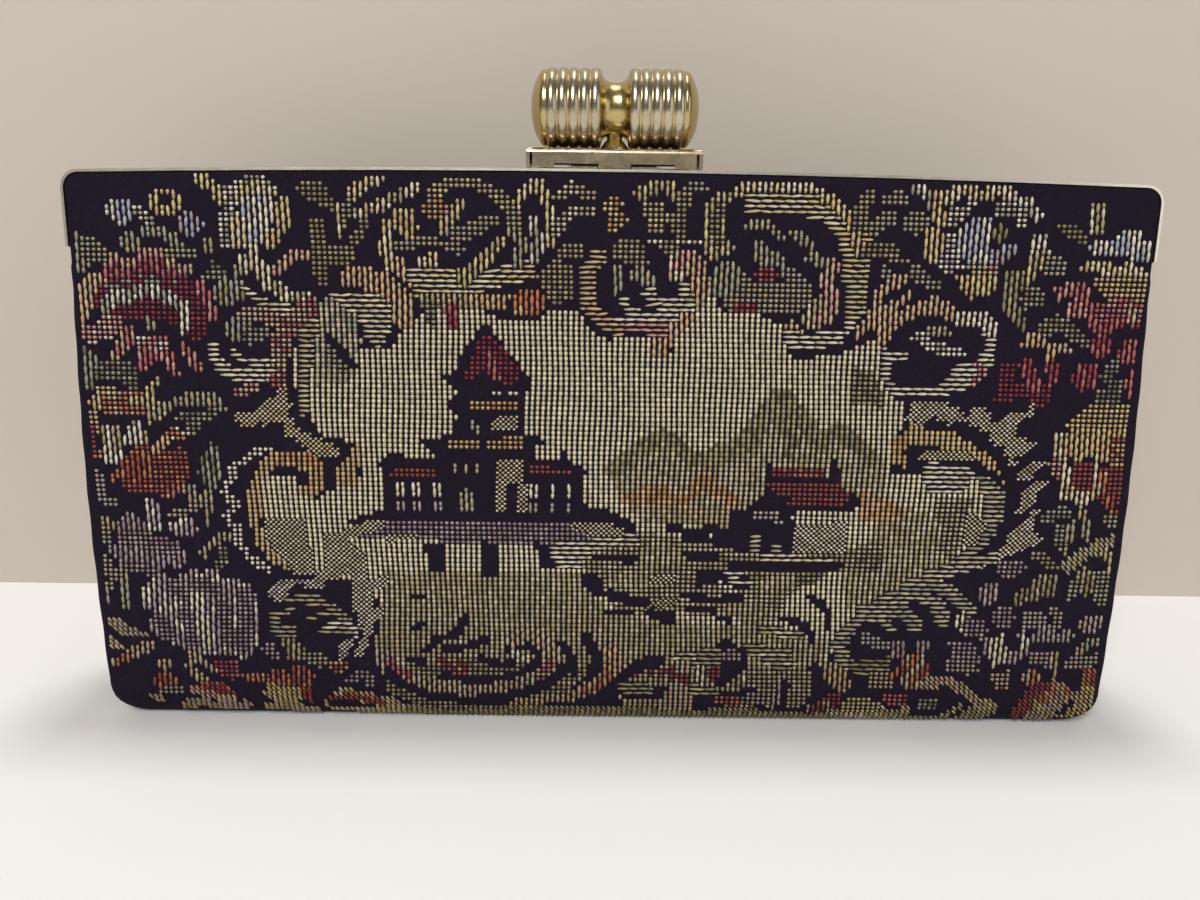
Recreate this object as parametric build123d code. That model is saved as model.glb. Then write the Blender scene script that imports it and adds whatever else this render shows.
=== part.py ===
from build123d import *
import os
from math import atan2, cos, pi, sin, tan

os.makedirs("parts", exist_ok=True)

# Closed bag, millimetres: X across, -Y to the front, Z up from the table
bag_width = 206.0
frame_top = 111.0
frame_depth = 19.0
base_depth = 34.0
base_roll = 5.0
panel_corner = 7.0
overrun = 400.0
least_round = 0.3

# Sheet goods of the pouch
cloth = 1.2
turned_edge = 4.5
board = 1.6
lining_cloth = 0.6
glue_gap = 0.05
board_margin = 1.2
board_stop = 8.5
base_board_end = 12.0
base_board_side = 7.0

# Two half frames bent from strip
frame_sheet = 0.5
frame_corner = 3.5
frame_arch = 1.5
rim_proud = 0.3
tuck_gap = 0.1
parting_gap = 0.4
mouth_flange = 3.5
arm_drop = 15.5
card_drop = 8.5

# Hinge ears and rivets at the ends of the arms
ear_radius = 4.0
ear_lap = 10.0
ear_gap = 0.1
ear_clearance = 0.3
rivet_radius = 1.2
rivet_fit = 0.05
rivet_head_radius = 2.2
rivet_head = 0.8
rivet_tail = 0.5

# Clasp cap, folded from sheet
cap_length = 33.6
cap_depth = 11.0
cap_height = 3.7
cap_sheet = 0.7
cap_lift = 0.3
cap_bend = 1.0
cap_slit = 0.5
notch_inner = 3.1
notch_width = 8.4
notch_height = 0.8
cap_tab_width = 4.8
cap_tab = 1.2

# Pivot of the cap on the rear rail
pin_radius = 0.7
pin_height = 1.9
pin_fit = 0.08
pivot_ear_radius = 1.3
pivot_ear_gap = 0.1
pivot_ear_inset = 1.1
pivot_ear_foot = 0.5
bracket_sheet = 0.7
bracket_front = 2.0
bracket_back = 7.0

# Strike lugs on the front rail and the catch spring
lug_width = 5.5
lug_sheet = 0.6
lug_back = 1.6
lug_lift = 0.12
lug_fit = 0.2
window_width = 3.0
window_front = -0.1
window_back = 1.0
spring_sheet = 0.3
spring_step = 0.1
nose_width = 2.4
nose_depth = 0.9
nose_sheet = 0.4
nose_place = 0.5
finger_width = 3.6
blade_width = 17.0
blade_front = -1.0

# Ribbed barrel that is pushed to open the clasp
barrel_length = 32.2
barrel_radius = 7.4
rib_count = 5
rib_depth = 0.45
rib_crest_share = 0.37
waist_length = 5.4
waist_radius = 4.8
waist_steps = 3
dome = 3.1
dome_steps = 4
barrel_seat = 0.02
stud_radius = 1.5
collar_gap = 0.12
collar_step = 2
stud_reach = 1.8
stud_head_radius = 2.2
stud_head = 0.4

# Raised weft of the woven picture, which draws its curves in straight steps
weft = 0.25
weave_step = 4.0

hinge_z = frame_top - arm_drop
arm_end = hinge_z - ear_radius
tilt = atan2((base_depth - frame_depth) / 2, frame_top)
panel_height = frame_top / cos(tilt)
board_depth = cloth + glue_gap
lining_depth = board_depth + board + glue_gap
gusset_inset = frame_sheet + ear_clearance
front_face = Plane(origin=(0, -base_depth / 2, 0), x_dir=(1, 0, 0), z_dir=(0, -cos(tilt), sin(tilt)))


def turned(shape):
    return Rot(0, 0, 180) * shape


def mirrored(shape):
    return mirror(shape, about=Plane.YZ)


def block(low, high):
    size = [b - a for a, b in zip(low, high)]
    middle = [(a + b) / 2 for a, b in zip(low, high)]
    return Pos(*middle) * Box(*size)


def below(height):
    return block((-overrun, -overrun, -overrun), (overrun, overrun, height))


def x_disc(radius, start, end, y, z):
    return extrude(Plane.YZ.offset(start) * Pos(y, z) * Circle(radius), amount=end - start)


# The pouch is the front view run through the side view
def half_depth(height, inset):
    return base_depth / 2 - height * tan(tilt) - inset / cos(tilt)


def rounded_below(face, radius):
    return fillet(face.vertices().group_by(Axis.Y)[0], max(radius, least_round))


def pouch(side, floor, face):
    half = bag_width / 2 - side
    front = make_face(
        Polyline((-half, floor), (half, floor), (half, frame_top), (-half, frame_top), close=True)
    )
    low = half_depth(floor, face)
    high = half_depth(frame_top, face)
    end = make_face(
        Polyline((-low, floor), (low, floor), (high, frame_top), (-high, frame_top), close=True)
    )
    front = rounded_below(front, panel_corner - side)
    end = rounded_below(end, base_roll - face)
    return extrude(Plane.XZ * front, amount=base_depth, both=True) & extrude(
        Plane.YZ * end, amount=bag_width, both=True
    )


def front_slab(near, far):
    sheet = front_face.offset(-near) * Rectangle(overrun, overrun)
    return extrude(sheet, amount=near - far)


def under_arm(gap):
    rise = ear_radius / half_depth(hinge_z, 0)
    low = arm_end - gap
    face = make_face(
        Polyline((0, low), (-overrun, low + rise * overrun), (-overrun, 0), (0, 0), close=True)
    )
    return extrude(Plane.YZ * face, amount=bag_width, both=True)


# Half frame: bent rim with tapered arms, inner flange at the mouth, hinge ears
def rim_face(inset, floor):
    half = bag_width / 2 - inset
    top = frame_top - inset
    shoulder = top - frame_arch
    sides = Polyline((-half, shoulder), (-half, floor), (half, floor), (half, shoulder))
    face = make_face([sides, ThreePointArc((half, shoulder), (0, top), (-half, shoulder))])
    return fillet(face.vertices().group_by(Axis.Y)[-1], max(frame_corner - inset, least_round))


def half_frame():
    parting = Plane.XZ.offset(parting_gap / 2)
    bow = rim_face(0, arm_end) - rim_face(frame_sheet, arm_end - frame_sheet)
    rim = extrude(parting * bow, amount=frame_depth) & front_slab(-rim_proud, base_depth)
    rim -= under_arm(0)
    flange_floor = hinge_z + ear_radius + 2 * ear_clearance
    lip = rim_face(0, flange_floor) - rim_face(frame_sheet + mouth_flange, flange_floor - frame_sheet)
    return rim + extrude(parting * lip, amount=frame_sheet)


def make_rear_frame():
    ear = x_disc(ear_radius, bag_width / 2 - frame_sheet, bag_width / 2, 0, hinge_z)
    frame = turned(half_frame()) + ear + mirrored(ear)
    bore = x_disc(rivet_radius, -bag_width, bag_width, 0, hinge_z)
    return frame - bore


def make_front_frame():
    swing = x_disc(ear_radius + ear_clearance, -bag_width, bag_width, 0, hinge_z)
    outer = bag_width / 2 - frame_sheet - ear_gap
    strip = ear_radius - parting_gap / 2
    stem = Pos(-parting_gap / 2 - strip / 2, hinge_z + ear_lap / 2) * Rectangle(strip, ear_lap)
    ear_face = Pos(0, hinge_z) * Circle(ear_radius) + stem
    ear = extrude(Plane.YZ.offset(outer - frame_sheet) * ear_face, amount=frame_sheet)
    lap = block(
        (outer - frame_sheet / 2, -ear_radius, hinge_z + ear_radius + ear_clearance),
        (outer + ear_gap + frame_sheet / 2, -parting_gap / 2, hinge_z + ear_lap),
    )
    frame = half_frame() - swing + ear + mirrored(ear) + lap + mirrored(lap)
    bore = x_disc(rivet_radius + rivet_fit, -bag_width, bag_width, 0, hinge_z)
    return frame - bore


def make_rivet():
    face = bag_width / 2
    tail = face - 2 * frame_sheet - ear_gap - rivet_fit
    head = x_disc(rivet_head_radius, face, face + rivet_head, 0, hinge_z)
    head = chamfer(head.edges().group_by(Axis.X)[-1], rivet_head / 2)
    shank = x_disc(rivet_radius, tail, face, 0, hinge_z)
    return head + shank + x_disc(rivet_radius + rivet_tail, tail - rivet_tail, tail, 0, hinge_z)


# Panels of the front wall; the rear wall has the same, turned round
def tucked(depth, thick, floor):
    face = rim_face(frame_sheet + tuck_gap, floor)
    return extrude(Plane.XZ * face, amount=base_depth, both=True) & front_slab(depth, depth + thick)


def make_tapestry():
    shell = pouch(0, 0, 0) - pouch(cloth, cloth, cloth)
    tray = shell & front_slab(0, turned_edge) & under_arm(tuck_gap)
    return tray + tucked(0, cloth, arm_end - panel_corner)


def make_board():
    inset = cloth + board_margin
    stiff = pouch(inset, base_roll, board_depth) & front_slab(board_depth, board_depth + board)
    return stiff & below(hinge_z - board_stop)


def make_top_card():
    return tucked(board_depth, board, frame_top - card_drop)


def make_lining():
    inset = frame_sheet + tuck_gap + mouth_flange
    return tucked(lining_depth, lining_cloth, 0) & pouch(inset, base_roll, lining_depth)


def boxing(side, floor, face, thick, near, top):
    strip = pouch(side, floor, face) - pouch(side + thick, floor + thick, -base_depth)
    front = front_slab(-base_depth, near)
    return strip & below(top) - front - turned(front)


gusset_top = arm_end - ear_clearance
gusset = boxing(gusset_inset, 0, 0, cloth, turned_edge + glue_gap, gusset_top)
lining_side = gusset_inset + cloth + glue_gap
lining_floor = cloth + board + 2 * glue_gap
lining_front = lining_depth + lining_cloth + glue_gap
gusset_lining = boxing(lining_side, lining_floor, lining_depth, lining_cloth, lining_front, gusset_top)
base_board = block(
    (base_board_end - bag_width / 2, base_board_side - base_depth / 2, cloth + glue_gap),
    (bag_width / 2 - base_board_end, base_depth / 2 - base_board_side, cloth + glue_gap + board),
)

# Clasp cap and its pivot
cap_floor = frame_top + cap_lift
cap_top = cap_floor + cap_height
pin_z = frame_top + pin_height
pin_y = cap_depth / 2 - cap_sheet - pivot_ear_radius - pivot_ear_gap
cap_half = cap_length / 2


def make_cap():
    shell = block((-cap_half, -cap_depth / 2, cap_floor), (cap_half, cap_depth / 2, cap_top))
    shell = fillet(shell.edges().group_by(Axis.Z)[-1], cap_bend)
    room = block(
        (cap_sheet - cap_half, cap_sheet - cap_depth / 2, cap_floor - cap_height),
        (cap_half - cap_sheet, cap_depth / 2 - cap_sheet, cap_top - cap_sheet),
    )
    cap = shell - fillet(room.edges().group_by(Axis.Z)[-1], least_round)
    heel = make_face(
        Polyline(
            (pin_y, cap_floor - cap_lift),
            (pin_y, cap_floor),
            (cap_depth / 2 - cap_sheet, pin_z),
            (cap_depth, pin_z),
            (cap_depth, cap_floor - cap_lift),
            close=True,
        )
    )
    cap -= extrude(Plane.YZ * heel, amount=cap_length, both=True)
    for side in (-1, 1):
        slit = cap_half - cap_sheet - cap_slit / 2
        cap -= block(
            (side * slit - cap_slit / 2, -cap_depth, cap_floor - cap_lift),
            (side * slit + cap_slit / 2, cap_sheet - cap_depth / 2, cap_top - cap_bend),
        )
        notch = notch_inner + notch_width / 2
        cap -= block(
            (side * notch - notch_width / 2, -cap_depth, cap_floor - cap_lift),
            (side * notch + notch_width / 2, cap_sheet - cap_depth / 2, cap_floor + notch_height),
        )
    cap += block(
        (-cap_tab_width / 2, cap_sheet / 2 - cap_depth / 2, cap_floor),
        (cap_tab_width / 2, cap_sheet + cap_tab - cap_depth / 2, cap_floor + cap_sheet),
    )
    cap -= x_disc(pin_radius + pin_fit, -cap_length, cap_length, pin_y, pin_z)
    return cap - Pos(0, 0, cap_top) * Cylinder(stud_radius, cap_height)


def make_bracket():
    half = cap_half - cap_sheet - pivot_ear_inset
    plate = block((-half, bracket_front, frame_top), (half, bracket_back, frame_top + bracket_sheet))
    width = pivot_ear_radius + pivot_ear_foot
    foot = Pos(pin_y + pivot_ear_foot - width / 2, (frame_top + pin_z) / 2) * Rectangle(width, pin_height)
    ear_face = Pos(pin_y, pin_z) * Circle(pivot_ear_radius) + foot
    ear = extrude(Plane.YZ.offset(half - bracket_sheet) * ear_face, amount=bracket_sheet)
    return plate + ear + mirrored(ear) - x_disc(pin_radius, -cap_length, cap_length, pin_y, pin_z)


def make_lugs():
    lugs = []
    for side in (-1, 1):
        x = side * (notch_inner + lug_fit + lug_width / 2)
        front = block(
            (x - lug_width / 2, -cap_depth / 2, frame_top),
            (x + lug_width / 2, -parting_gap / 2, frame_top + lug_sheet),
        )
        tongue = block(
            (x - lug_width / 2, -parting_gap, frame_top + lug_lift),
            (x + lug_width / 2, lug_back, frame_top + lug_sheet),
        )
        window = block(
            (x - window_width / 2, window_front, frame_top - lug_sheet),
            (x + window_width / 2, window_back, frame_top + 2 * lug_sheet),
        )
        lugs.append(front + tongue - window)
    return lugs


def make_spring():
    seat = frame_top + bracket_sheet
    blade = cap_floor + cap_sheet + spring_step
    base = block((-blade_width / 2, bracket_front, seat), (blade_width / 2, pin_y, seat + spring_sheet))
    riser = block(
        (-blade_width / 2, bracket_front, seat),
        (blade_width / 2, bracket_front + spring_sheet, blade + spring_sheet),
    )
    leaf = block(
        (-blade_width / 2, blade_front, blade),
        (blade_width / 2, bracket_front + spring_sheet, blade + spring_sheet),
    )
    finger = block(
        (-finger_width / 2, cap_sheet + spring_step - cap_depth / 2, blade),
        (finger_width / 2, blade_front, blade + spring_sheet),
    )
    spring = base + riser + leaf + finger
    for side in (-1, 1):
        x = side * (notch_inner + lug_fit + lug_width / 2)
        spring += block(
            (x - nose_width / 2, nose_place - nose_sheet / 2, blade - nose_depth),
            (x + nose_width / 2, nose_place + nose_sheet / 2, blade + spring_sheet),
        )
    return spring


# Barrel turned about X: domed ends, two runs of round ribs and a hollow waist
barrel_z = cap_top + barrel_radius + barrel_seat
waist_half = waist_length / 2
groove = barrel_radius - rib_depth


def waist_point(step):
    share = step / waist_steps
    return waist_half * share, waist_radius + (groove - waist_radius) * share**2


def make_barrel():
    rib_pitch = (barrel_length / 2 - dome - waist_half) / rib_count
    shoulder = rib_pitch * (1 - rib_crest_share) / 2
    outline = [(0, 0)]
    outline += [waist_point(step) for step in range(waist_steps)]
    for rib in range(rib_count):
        x = waist_half + rib * rib_pitch
        outline.append((x, groove))
        outline.append((x + shoulder, barrel_radius))
        outline.append((x + rib_pitch - shoulder, barrel_radius))
    for step in range(dome_steps):
        angle = pi / 2 * step / dome_steps
        outline.append((barrel_length / 2 - dome * (1 - sin(angle)), groove * cos(angle)))
    outline.append((barrel_length / 2, 0))
    half = make_face(Polyline(*outline, close=True))
    barrel = Pos(0, 0, barrel_z) * revolve(half + mirrored(half), axis=Axis.X)
    return barrel - Pos(0, 0, barrel_z - waist_radius) * Cylinder(stud_radius, 2 * stud_reach)


def make_stud():
    tip = barrel_z - waist_radius + stud_reach
    low = cap_top - cap_sheet
    inner, inner_reach = waist_point(collar_step)
    outer, outer_reach = waist_point(waist_steps)
    profile = make_face(
        Polyline(
            (0, low - stud_head),
            (stud_head_radius, low - stud_head),
            (stud_head_radius, low),
            (stud_radius, low),
            (stud_radius, cap_top),
            (outer, cap_top),
            (outer, barrel_z - outer_reach - collar_gap),
            (inner, barrel_z - inner_reach - collar_gap),
            (stud_radius, barrel_z - inner_reach - collar_gap),
            (stud_radius, tip),
            (0, tip),
            close=True,
        )
    )
    return revolve(Plane.XZ * profile, axis=Axis.Z)


# Woven picture: places are shares of the panel's width and height from its lower left corner
def at(share):
    return Vector((share[0] - 0.5) * bag_width, share[1] * panel_height)


def patch(*shares):
    return make_face(Polyline(*[at(share) for share in shares], close=True))


def stepped(curves):
    points = []
    for curve in curves:
        count = max(2, round(curve.length / weave_step))
        points += [curve @ (step / count) for step in range(count)]
    return make_face(Polyline(*points, close=True))


def bar(left, low, right, high):
    return patch((left, low), (left, high), (right, high), (right, low))


def island(*shares):
    return stepped([Spline(*[at(share) for share in shares], periodic=True)])


def crescent(start, crown, end, thick_share):
    a, m, b = at(start), at(crown), at(end)
    inward = ((a + b) / 2 - m).normalized() * thick_share * bag_width
    return stepped([ThreePointArc(a, m, b), ThreePointArc(b, m + inward, a)])


def rosette(centre, radius_share, lobes):
    radius = radius_share * bag_width
    middle = at(centre)

    def spoke(step, reach):
        angle = 2 * pi * step / lobes
        return middle + Vector(cos(angle), sin(angle)) * reach

    valley = radius * notch_share
    petals = []
    for lobe in range(lobes):
        crown = spoke(lobe + 1 / 2, radius)
        petals.append(ThreePointArc(spoke(lobe, valley), crown, spoke(lobe + 1, valley)))
    return stepped(petals)


def gathered(faces):
    total = faces[0]
    for face in faces[1:]:
        total += face
    return total


def mirrored_shares(centre_share, half_shares):
    right = [(centre_share + half, height) for half, height in half_shares]
    left = [(centre_share - half, height) for half, height in reversed(half_shares) if half > 0]
    return right + left


notch_share = 0.72
tower_centre_share = 0.383
tower_half_shares = [
    (0.0, 0.75), (0.008, 0.705), (0.022, 0.685), (0.044, 0.632), (0.024, 0.618), (0.026, 0.585),
    (0.062, 0.528), (0.045, 0.512), (0.045, 0.395),
]
bell_half_shares = [(0.0, 0.735), (0.018, 0.685), (0.036, 0.64)]
sky_shares = [
    (0.212, 0.765), (0.27, 0.79), (0.31, 0.75), (0.37, 0.785), (0.46, 0.785), (0.53, 0.73), (0.60, 0.785),
    (0.67, 0.73), (0.74, 0.70), (0.76, 0.61), (0.79, 0.53), (0.855, 0.47), (0.835, 0.35), (0.76, 0.23),
    (0.71, 0.14), (0.60, 0.12), (0.50, 0.14), (0.44, 0.09), (0.34, 0.09), (0.285, 0.19), (0.19, 0.31),
    (0.168, 0.42), (0.235, 0.53), (0.215, 0.66),
]
water_shares = [
    (0.512, 0.36), (0.56, 0.405), (0.64, 0.355), (0.74, 0.36), (0.815, 0.335), (0.745, 0.225),
    (0.66, 0.20), (0.58, 0.225), (0.51, 0.265),
]
terrace_shares = [(0.24, 0.348), (0.268, 0.398), (0.485, 0.398), (0.535, 0.362), (0.47, 0.345)]
hill_shares = [
    [(0.505, 0.425), (0.52, 0.475), (0.55, 0.465), (0.585, 0.492), (0.635, 0.435)],
    [(0.735, 0.42), (0.75, 0.455), (0.775, 0.445), (0.785, 0.42)],
]
wall_bar_shares = [(0.278, 0.395, 0.345, 0.508), (0.425, 0.395, 0.474, 0.508), (0.642, 0.335, 0.68, 0.43)]
wall_shares = [
    [(0.622, 0.425), (0.655, 0.478), (0.655, 0.505), (0.715, 0.505), (0.75, 0.435), (0.745, 0.415)],
    [(0.32, 0.349), (0.336, 0.349), (0.342, 0.295), (0.33, 0.295)],
    [(0.377, 0.349), (0.393, 0.349), (0.399, 0.295), (0.387, 0.295)],
    [(0.428, 0.349), (0.444, 0.349), (0.45, 0.295), (0.438, 0.295)],
]
roof_bar_shares = [(0.282, 0.482, 0.336, 0.502), (0.43, 0.482, 0.47, 0.502)]
pavilion_roof_shares = [(0.637, 0.43), (0.66, 0.472), (0.716, 0.472), (0.742, 0.437)]
eave_shares = [(0.336, 0.53), (0.35, 0.548), (0.416, 0.548), (0.43, 0.53)]
gilt_bar_shares = [
    (0.395, 0.405, 0.426, 0.51), (0.362, 0.604, 0.404, 0.616),
    (0.292, 0.415, 0.299, 0.465), (0.305, 0.415, 0.312, 0.465), (0.319, 0.415, 0.326, 0.465),
    (0.434, 0.415, 0.441, 0.465), (0.446, 0.415, 0.453, 0.465), (0.458, 0.415, 0.465, 0.465),
]
scroll_shares = [
    [(0.238, 0.47), (0.205, 0.52), (0.166, 0.45), 0.014],
    [(0.172, 0.48), (0.150, 0.38), (0.205, 0.29), 0.012],
    [(0.785, 0.55), (0.838, 0.582), (0.878, 0.475), 0.014],
    [(0.871, 0.51), (0.886, 0.39), (0.82, 0.29), 0.012],
    [(0.60, 0.87), (0.655, 0.985), (0.722, 0.92), 0.020],
    [(0.712, 0.938), (0.742, 0.84), (0.69, 0.745), 0.016],
    [(0.475, 0.86), (0.52, 0.75), (0.585, 0.86), 0.014],
    [(0.295, 0.85), (0.30, 0.925), (0.345, 0.97), 0.012],
    [(0.30, 0.845), (0.36, 0.80), (0.425, 0.86), 0.012],
    [(0.775, 0.665), (0.862, 0.675), (0.835, 0.785), 0.014],
    [(0.275, 0.20), (0.325, 0.062), (0.44, 0.10), 0.014],
    [(0.424, 0.086), (0.455, 0.15), (0.405, 0.17), 0.010],
    [(0.492, 0.175), (0.508, 0.10), (0.45, 0.06), 0.010],
    [(0.735, 0.10), (0.752, 0.225), (0.852, 0.265), 0.014],
    [(0.168, 0.155), (0.195, 0.25), (0.262, 0.14), 0.014],
    [(0.125, 0.68), (0.168, 0.635), (0.205, 0.74), 0.012],
]
crimson_shares = [(0.082, 0.785, 0.046, 7), (0.962, 0.79, 0.028, 6), (0.895, 0.655, 0.02, 5)]
gold_shares = [
    (0.052, 0.57, 0.034, 6), (0.962, 0.53, 0.028, 6), (0.952, 0.085, 0.022, 6), (0.245, 0.082, 0.018, 5)
]
lilac_shares = [(0.098, 0.235, 0.044, 8), (0.062, 0.385, 0.026, 6)]
blue_shares = [
    (0.838, 0.925, 0.03, 6), (0.17, 0.925, 0.028, 6), (0.972, 0.90, 0.018, 5), (0.055, 0.93, 0.012, 5)
]
leaf_shares = [
    [(0.215, 0.955), (0.235, 0.90), (0.25, 0.82), 0.02],
    [(0.745, 0.96), (0.775, 0.92), (0.77, 0.86), 0.02],
    [(0.085, 0.60), (0.115, 0.625), (0.135, 0.575), 0.018],
    [(0.885, 0.86), (0.905, 0.82), (0.89, 0.75), 0.016],
    [(0.905, 0.30), (0.93, 0.32), (0.955, 0.28), 0.014],
    [(0.925, 0.20), (0.95, 0.22), (0.965, 0.16), 0.014],
    [(0.51, 0.955), (0.53, 0.97), (0.555, 0.92), 0.016],
    [(0.40, 0.97), (0.435, 0.975), (0.442, 0.88), 0.014],
]


def make_picture():
    walls = [patch(*mirrored_shares(tower_centre_share, tower_half_shares))]
    walls += [bar(*shares) for shares in wall_bar_shares]
    walls += [patch(*shares) for shares in wall_shares]
    roofs = [patch(*mirrored_shares(tower_centre_share, bell_half_shares)), patch(*pavilion_roof_shares)]
    roofs += [bar(*shares) for shares in roof_bar_shares]
    gilding = [patch(*eave_shares)]
    gilding += [bar(*shares) for shares in gilt_bar_shares]
    fields = [
        ("sky_field", island(*sky_shares)),
        ("water_field", island(*water_shares)),
        ("hill_field", gathered([island(*shares) for shares in hill_shares])),
        ("open_ground", gathered(walls)),
        ("terrace_field", patch(*terrace_shares)),
        ("roof_field", gathered(roofs)),
        ("gilt_field", gathered(gilding)),
        ("leaf_field", gathered([crescent(*shares) for shares in leaf_shares])),
        ("scroll_field", gathered([crescent(*shares) for shares in scroll_shares])),
    ]
    for name, table in (
        ("crimson_field", crimson_shares), ("gold_field", gold_shares),
        ("lilac_field", lilac_shares), ("blue_field", blue_shares),
    ):
        fields.append((name, gathered([rosette((u, v), radius, lobes) for u, v, radius, lobes in table])))
    picture = {}
    for place, (name, face) in enumerate(fields):
        for _, over in fields[place + 1:]:
            face -= over
        picture[name] = extrude(front_face * face, amount=weft)
    picture.pop("open_ground")
    return picture


tapestry = make_tapestry()
stiff_board = make_board()
top_card = make_top_card()
lining = make_lining()
rivet = make_rivet()

nodes = {
    "rear_frame": make_rear_frame(),
    "front_frame": make_front_frame(),
    "hinge_rivets": Compound(children=[rivet, mirrored(rivet)]),
    "front_tapestry": tapestry,
    "rear_tapestry": turned(tapestry),
    "front_board": stiff_board,
    "rear_board": turned(stiff_board),
    "front_top_card": top_card,
    "rear_top_card": turned(top_card),
    "front_lining": lining,
    "rear_lining": turned(lining),
    "gusset": gusset,
    "gusset_lining": gusset_lining,
    "base_board": base_board,
    "clasp_cap": make_cap(),
    "clasp_bracket": make_bracket(),
    "clasp_pin": x_disc(pin_radius, -cap_half, cap_half, pin_y, pin_z),
    "catch_spring": make_spring(),
    "strike_lugs": Compound(children=make_lugs()),
    "clasp_barrel": make_barrel(),
    "barrel_stud": make_stud(),
}
for name, field in make_picture().items():
    nodes["front_" + name] = field
    nodes["rear_" + name] = turned(field)

for name, shape in nodes.items():
    export_step(shape, f"parts/{name}.step")
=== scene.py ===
import bpy
import math
import numpy as np
from mathutils import Matrix, Vector


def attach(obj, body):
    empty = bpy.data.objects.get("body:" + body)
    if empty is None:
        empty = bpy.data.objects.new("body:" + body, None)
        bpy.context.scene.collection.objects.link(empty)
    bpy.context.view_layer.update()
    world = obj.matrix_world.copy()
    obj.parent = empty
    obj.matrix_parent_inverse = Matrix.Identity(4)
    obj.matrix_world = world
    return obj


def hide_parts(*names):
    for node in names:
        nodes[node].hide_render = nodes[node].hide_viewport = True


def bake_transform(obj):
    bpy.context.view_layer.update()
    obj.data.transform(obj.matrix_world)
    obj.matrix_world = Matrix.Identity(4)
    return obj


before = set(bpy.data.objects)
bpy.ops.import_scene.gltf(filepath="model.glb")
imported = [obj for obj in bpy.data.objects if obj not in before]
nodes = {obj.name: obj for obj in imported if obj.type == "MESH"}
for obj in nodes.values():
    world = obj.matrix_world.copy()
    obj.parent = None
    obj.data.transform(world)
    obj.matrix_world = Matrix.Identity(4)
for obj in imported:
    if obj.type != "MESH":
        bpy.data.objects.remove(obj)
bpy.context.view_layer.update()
mm = 0.001
rng = np.random.default_rng(11)
print("frame loaded:", len(nodes), "nodes")


# small helpers

def linear(rgb):  # 0-255 display colour to linear
    shares = [c / 255 for c in rgb]
    return tuple(c / 12.92 if c <= 10 / 255 else ((c + 0.055) / 1.055) ** 2.4 for c in shares) + (1.0,)


def clearSelection():
    if bpy.context.object and bpy.context.object.mode != "OBJECT":
        bpy.ops.object.mode_set(mode="OBJECT")
    bpy.ops.object.select_all(action="DESELECT")


def makeActive(piece):
    clearSelection()
    piece.select_set(True)
    bpy.context.view_layer.objects.active = piece


def applyModifier(piece, kind, **settings):
    makeActive(piece)
    modifier = piece.modifiers.new(kind.lower(), kind)
    for key, value in settings.items():
        setattr(modifier, key, value)
    bpy.ops.object.modifier_apply(modifier=modifier.name)


def linkNew(name, data):
    thing = bpy.data.objects.new(name, data)
    bpy.context.scene.collection.objects.link(thing)
    return thing


def shadeSmooth(piece):
    piece.data.polygons.foreach_set("use_smooth", [True] * len(piece.data.polygons))


def newPiece(name, points, faces):
    mesh = bpy.data.meshes.new(name)
    mesh.from_pydata([tuple(p) for p in points], [], [tuple(f) for f in faces])
    mesh.update()
    piece = linkNew(name, mesh)
    shadeSmooth(piece)
    return piece


def gridFaces(rows, columns, closed=False):  # quads between rows of points
    faces = []
    for r in range(rows - 1):
        for c in range(columns if closed else columns - 1):
            d = (c + 1) % columns
            faces.append((r * columns + c, r * columns + d, (r + 1) * columns + d, (r + 1) * columns + c))
    return faces


def mergeAndOrient(piece, distance):
    makeActive(piece)
    bpy.ops.object.mode_set(mode="EDIT")
    bpy.ops.mesh.select_all(action="SELECT")
    bpy.ops.mesh.remove_doubles(threshold=distance)
    bpy.ops.mesh.normals_make_consistent(inside=False)
    bpy.ops.object.mode_set(mode="OBJECT")


def faceTowards(piece, direction):  # an open sheet's normals, turned to one side
    facing = sum(p.normal.dot(direction) * p.area for p in piece.data.polygons)
    if facing < 0:
        piece.data.flip_normals()


def turnedCopy(piece, name):  # the rear wall is the front one, turned round
    mesh = piece.data.copy()
    mesh.transform(Matrix.Rotation(math.pi, 4, "Z"))
    return linkNew(name, mesh)


def dress(piece, material):
    piece.data.materials.clear()
    piece.data.materials.append(material)


# node groups and materials

def newMaterial(name):
    material = bpy.data.materials.new(name)
    material.use_nodes = True
    tree = material.node_tree
    return material, tree, tree.nodes["Principled BSDF"]


def setInputs(node, **values):
    for label, value in values.items():
        node.inputs[label].default_value = value


def plug(tree, socket, value):  # a number or colour is set, an output is linked
    if isinstance(value, (int, float, tuple)):
        socket.default_value = value
    else:
        tree.links.new(value, socket)


def mathNode(tree, operation, *values):
    node = tree.nodes.new("ShaderNodeMath")
    node.operation = operation
    for socket, value in zip(node.inputs, values):
        plug(tree, socket, value)
    return node.outputs[0]


def mixColour(tree, factor, a, b, blend="MIX"):
    node = tree.nodes.new("ShaderNodeMix")
    node.data_type = "RGBA"
    node.blend_type = blend
    for socket, value in ((node.inputs[0], factor), (node.inputs[6], a), (node.inputs[7], b)):
        plug(tree, socket, value)
    return node.outputs[2]


def objectCoords(tree, scale=(1, 1, 1)):
    coords = tree.nodes.new("ShaderNodeTexCoord")
    mapping = tree.nodes.new("ShaderNodeMapping")
    setInputs(mapping, Scale=scale)
    tree.links.new(coords.outputs["Object"], mapping.inputs["Vector"])
    return mapping.outputs["Vector"]


def noise(tree, stretch, scale, detail=3.0, roughness=0.55):
    node = tree.nodes.new("ShaderNodeTexNoise")
    setInputs(node, Scale=scale, Detail=detail, Roughness=roughness)
    tree.links.new(objectCoords(tree, stretch), node.inputs["Vector"])
    return node.outputs[0]


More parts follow.
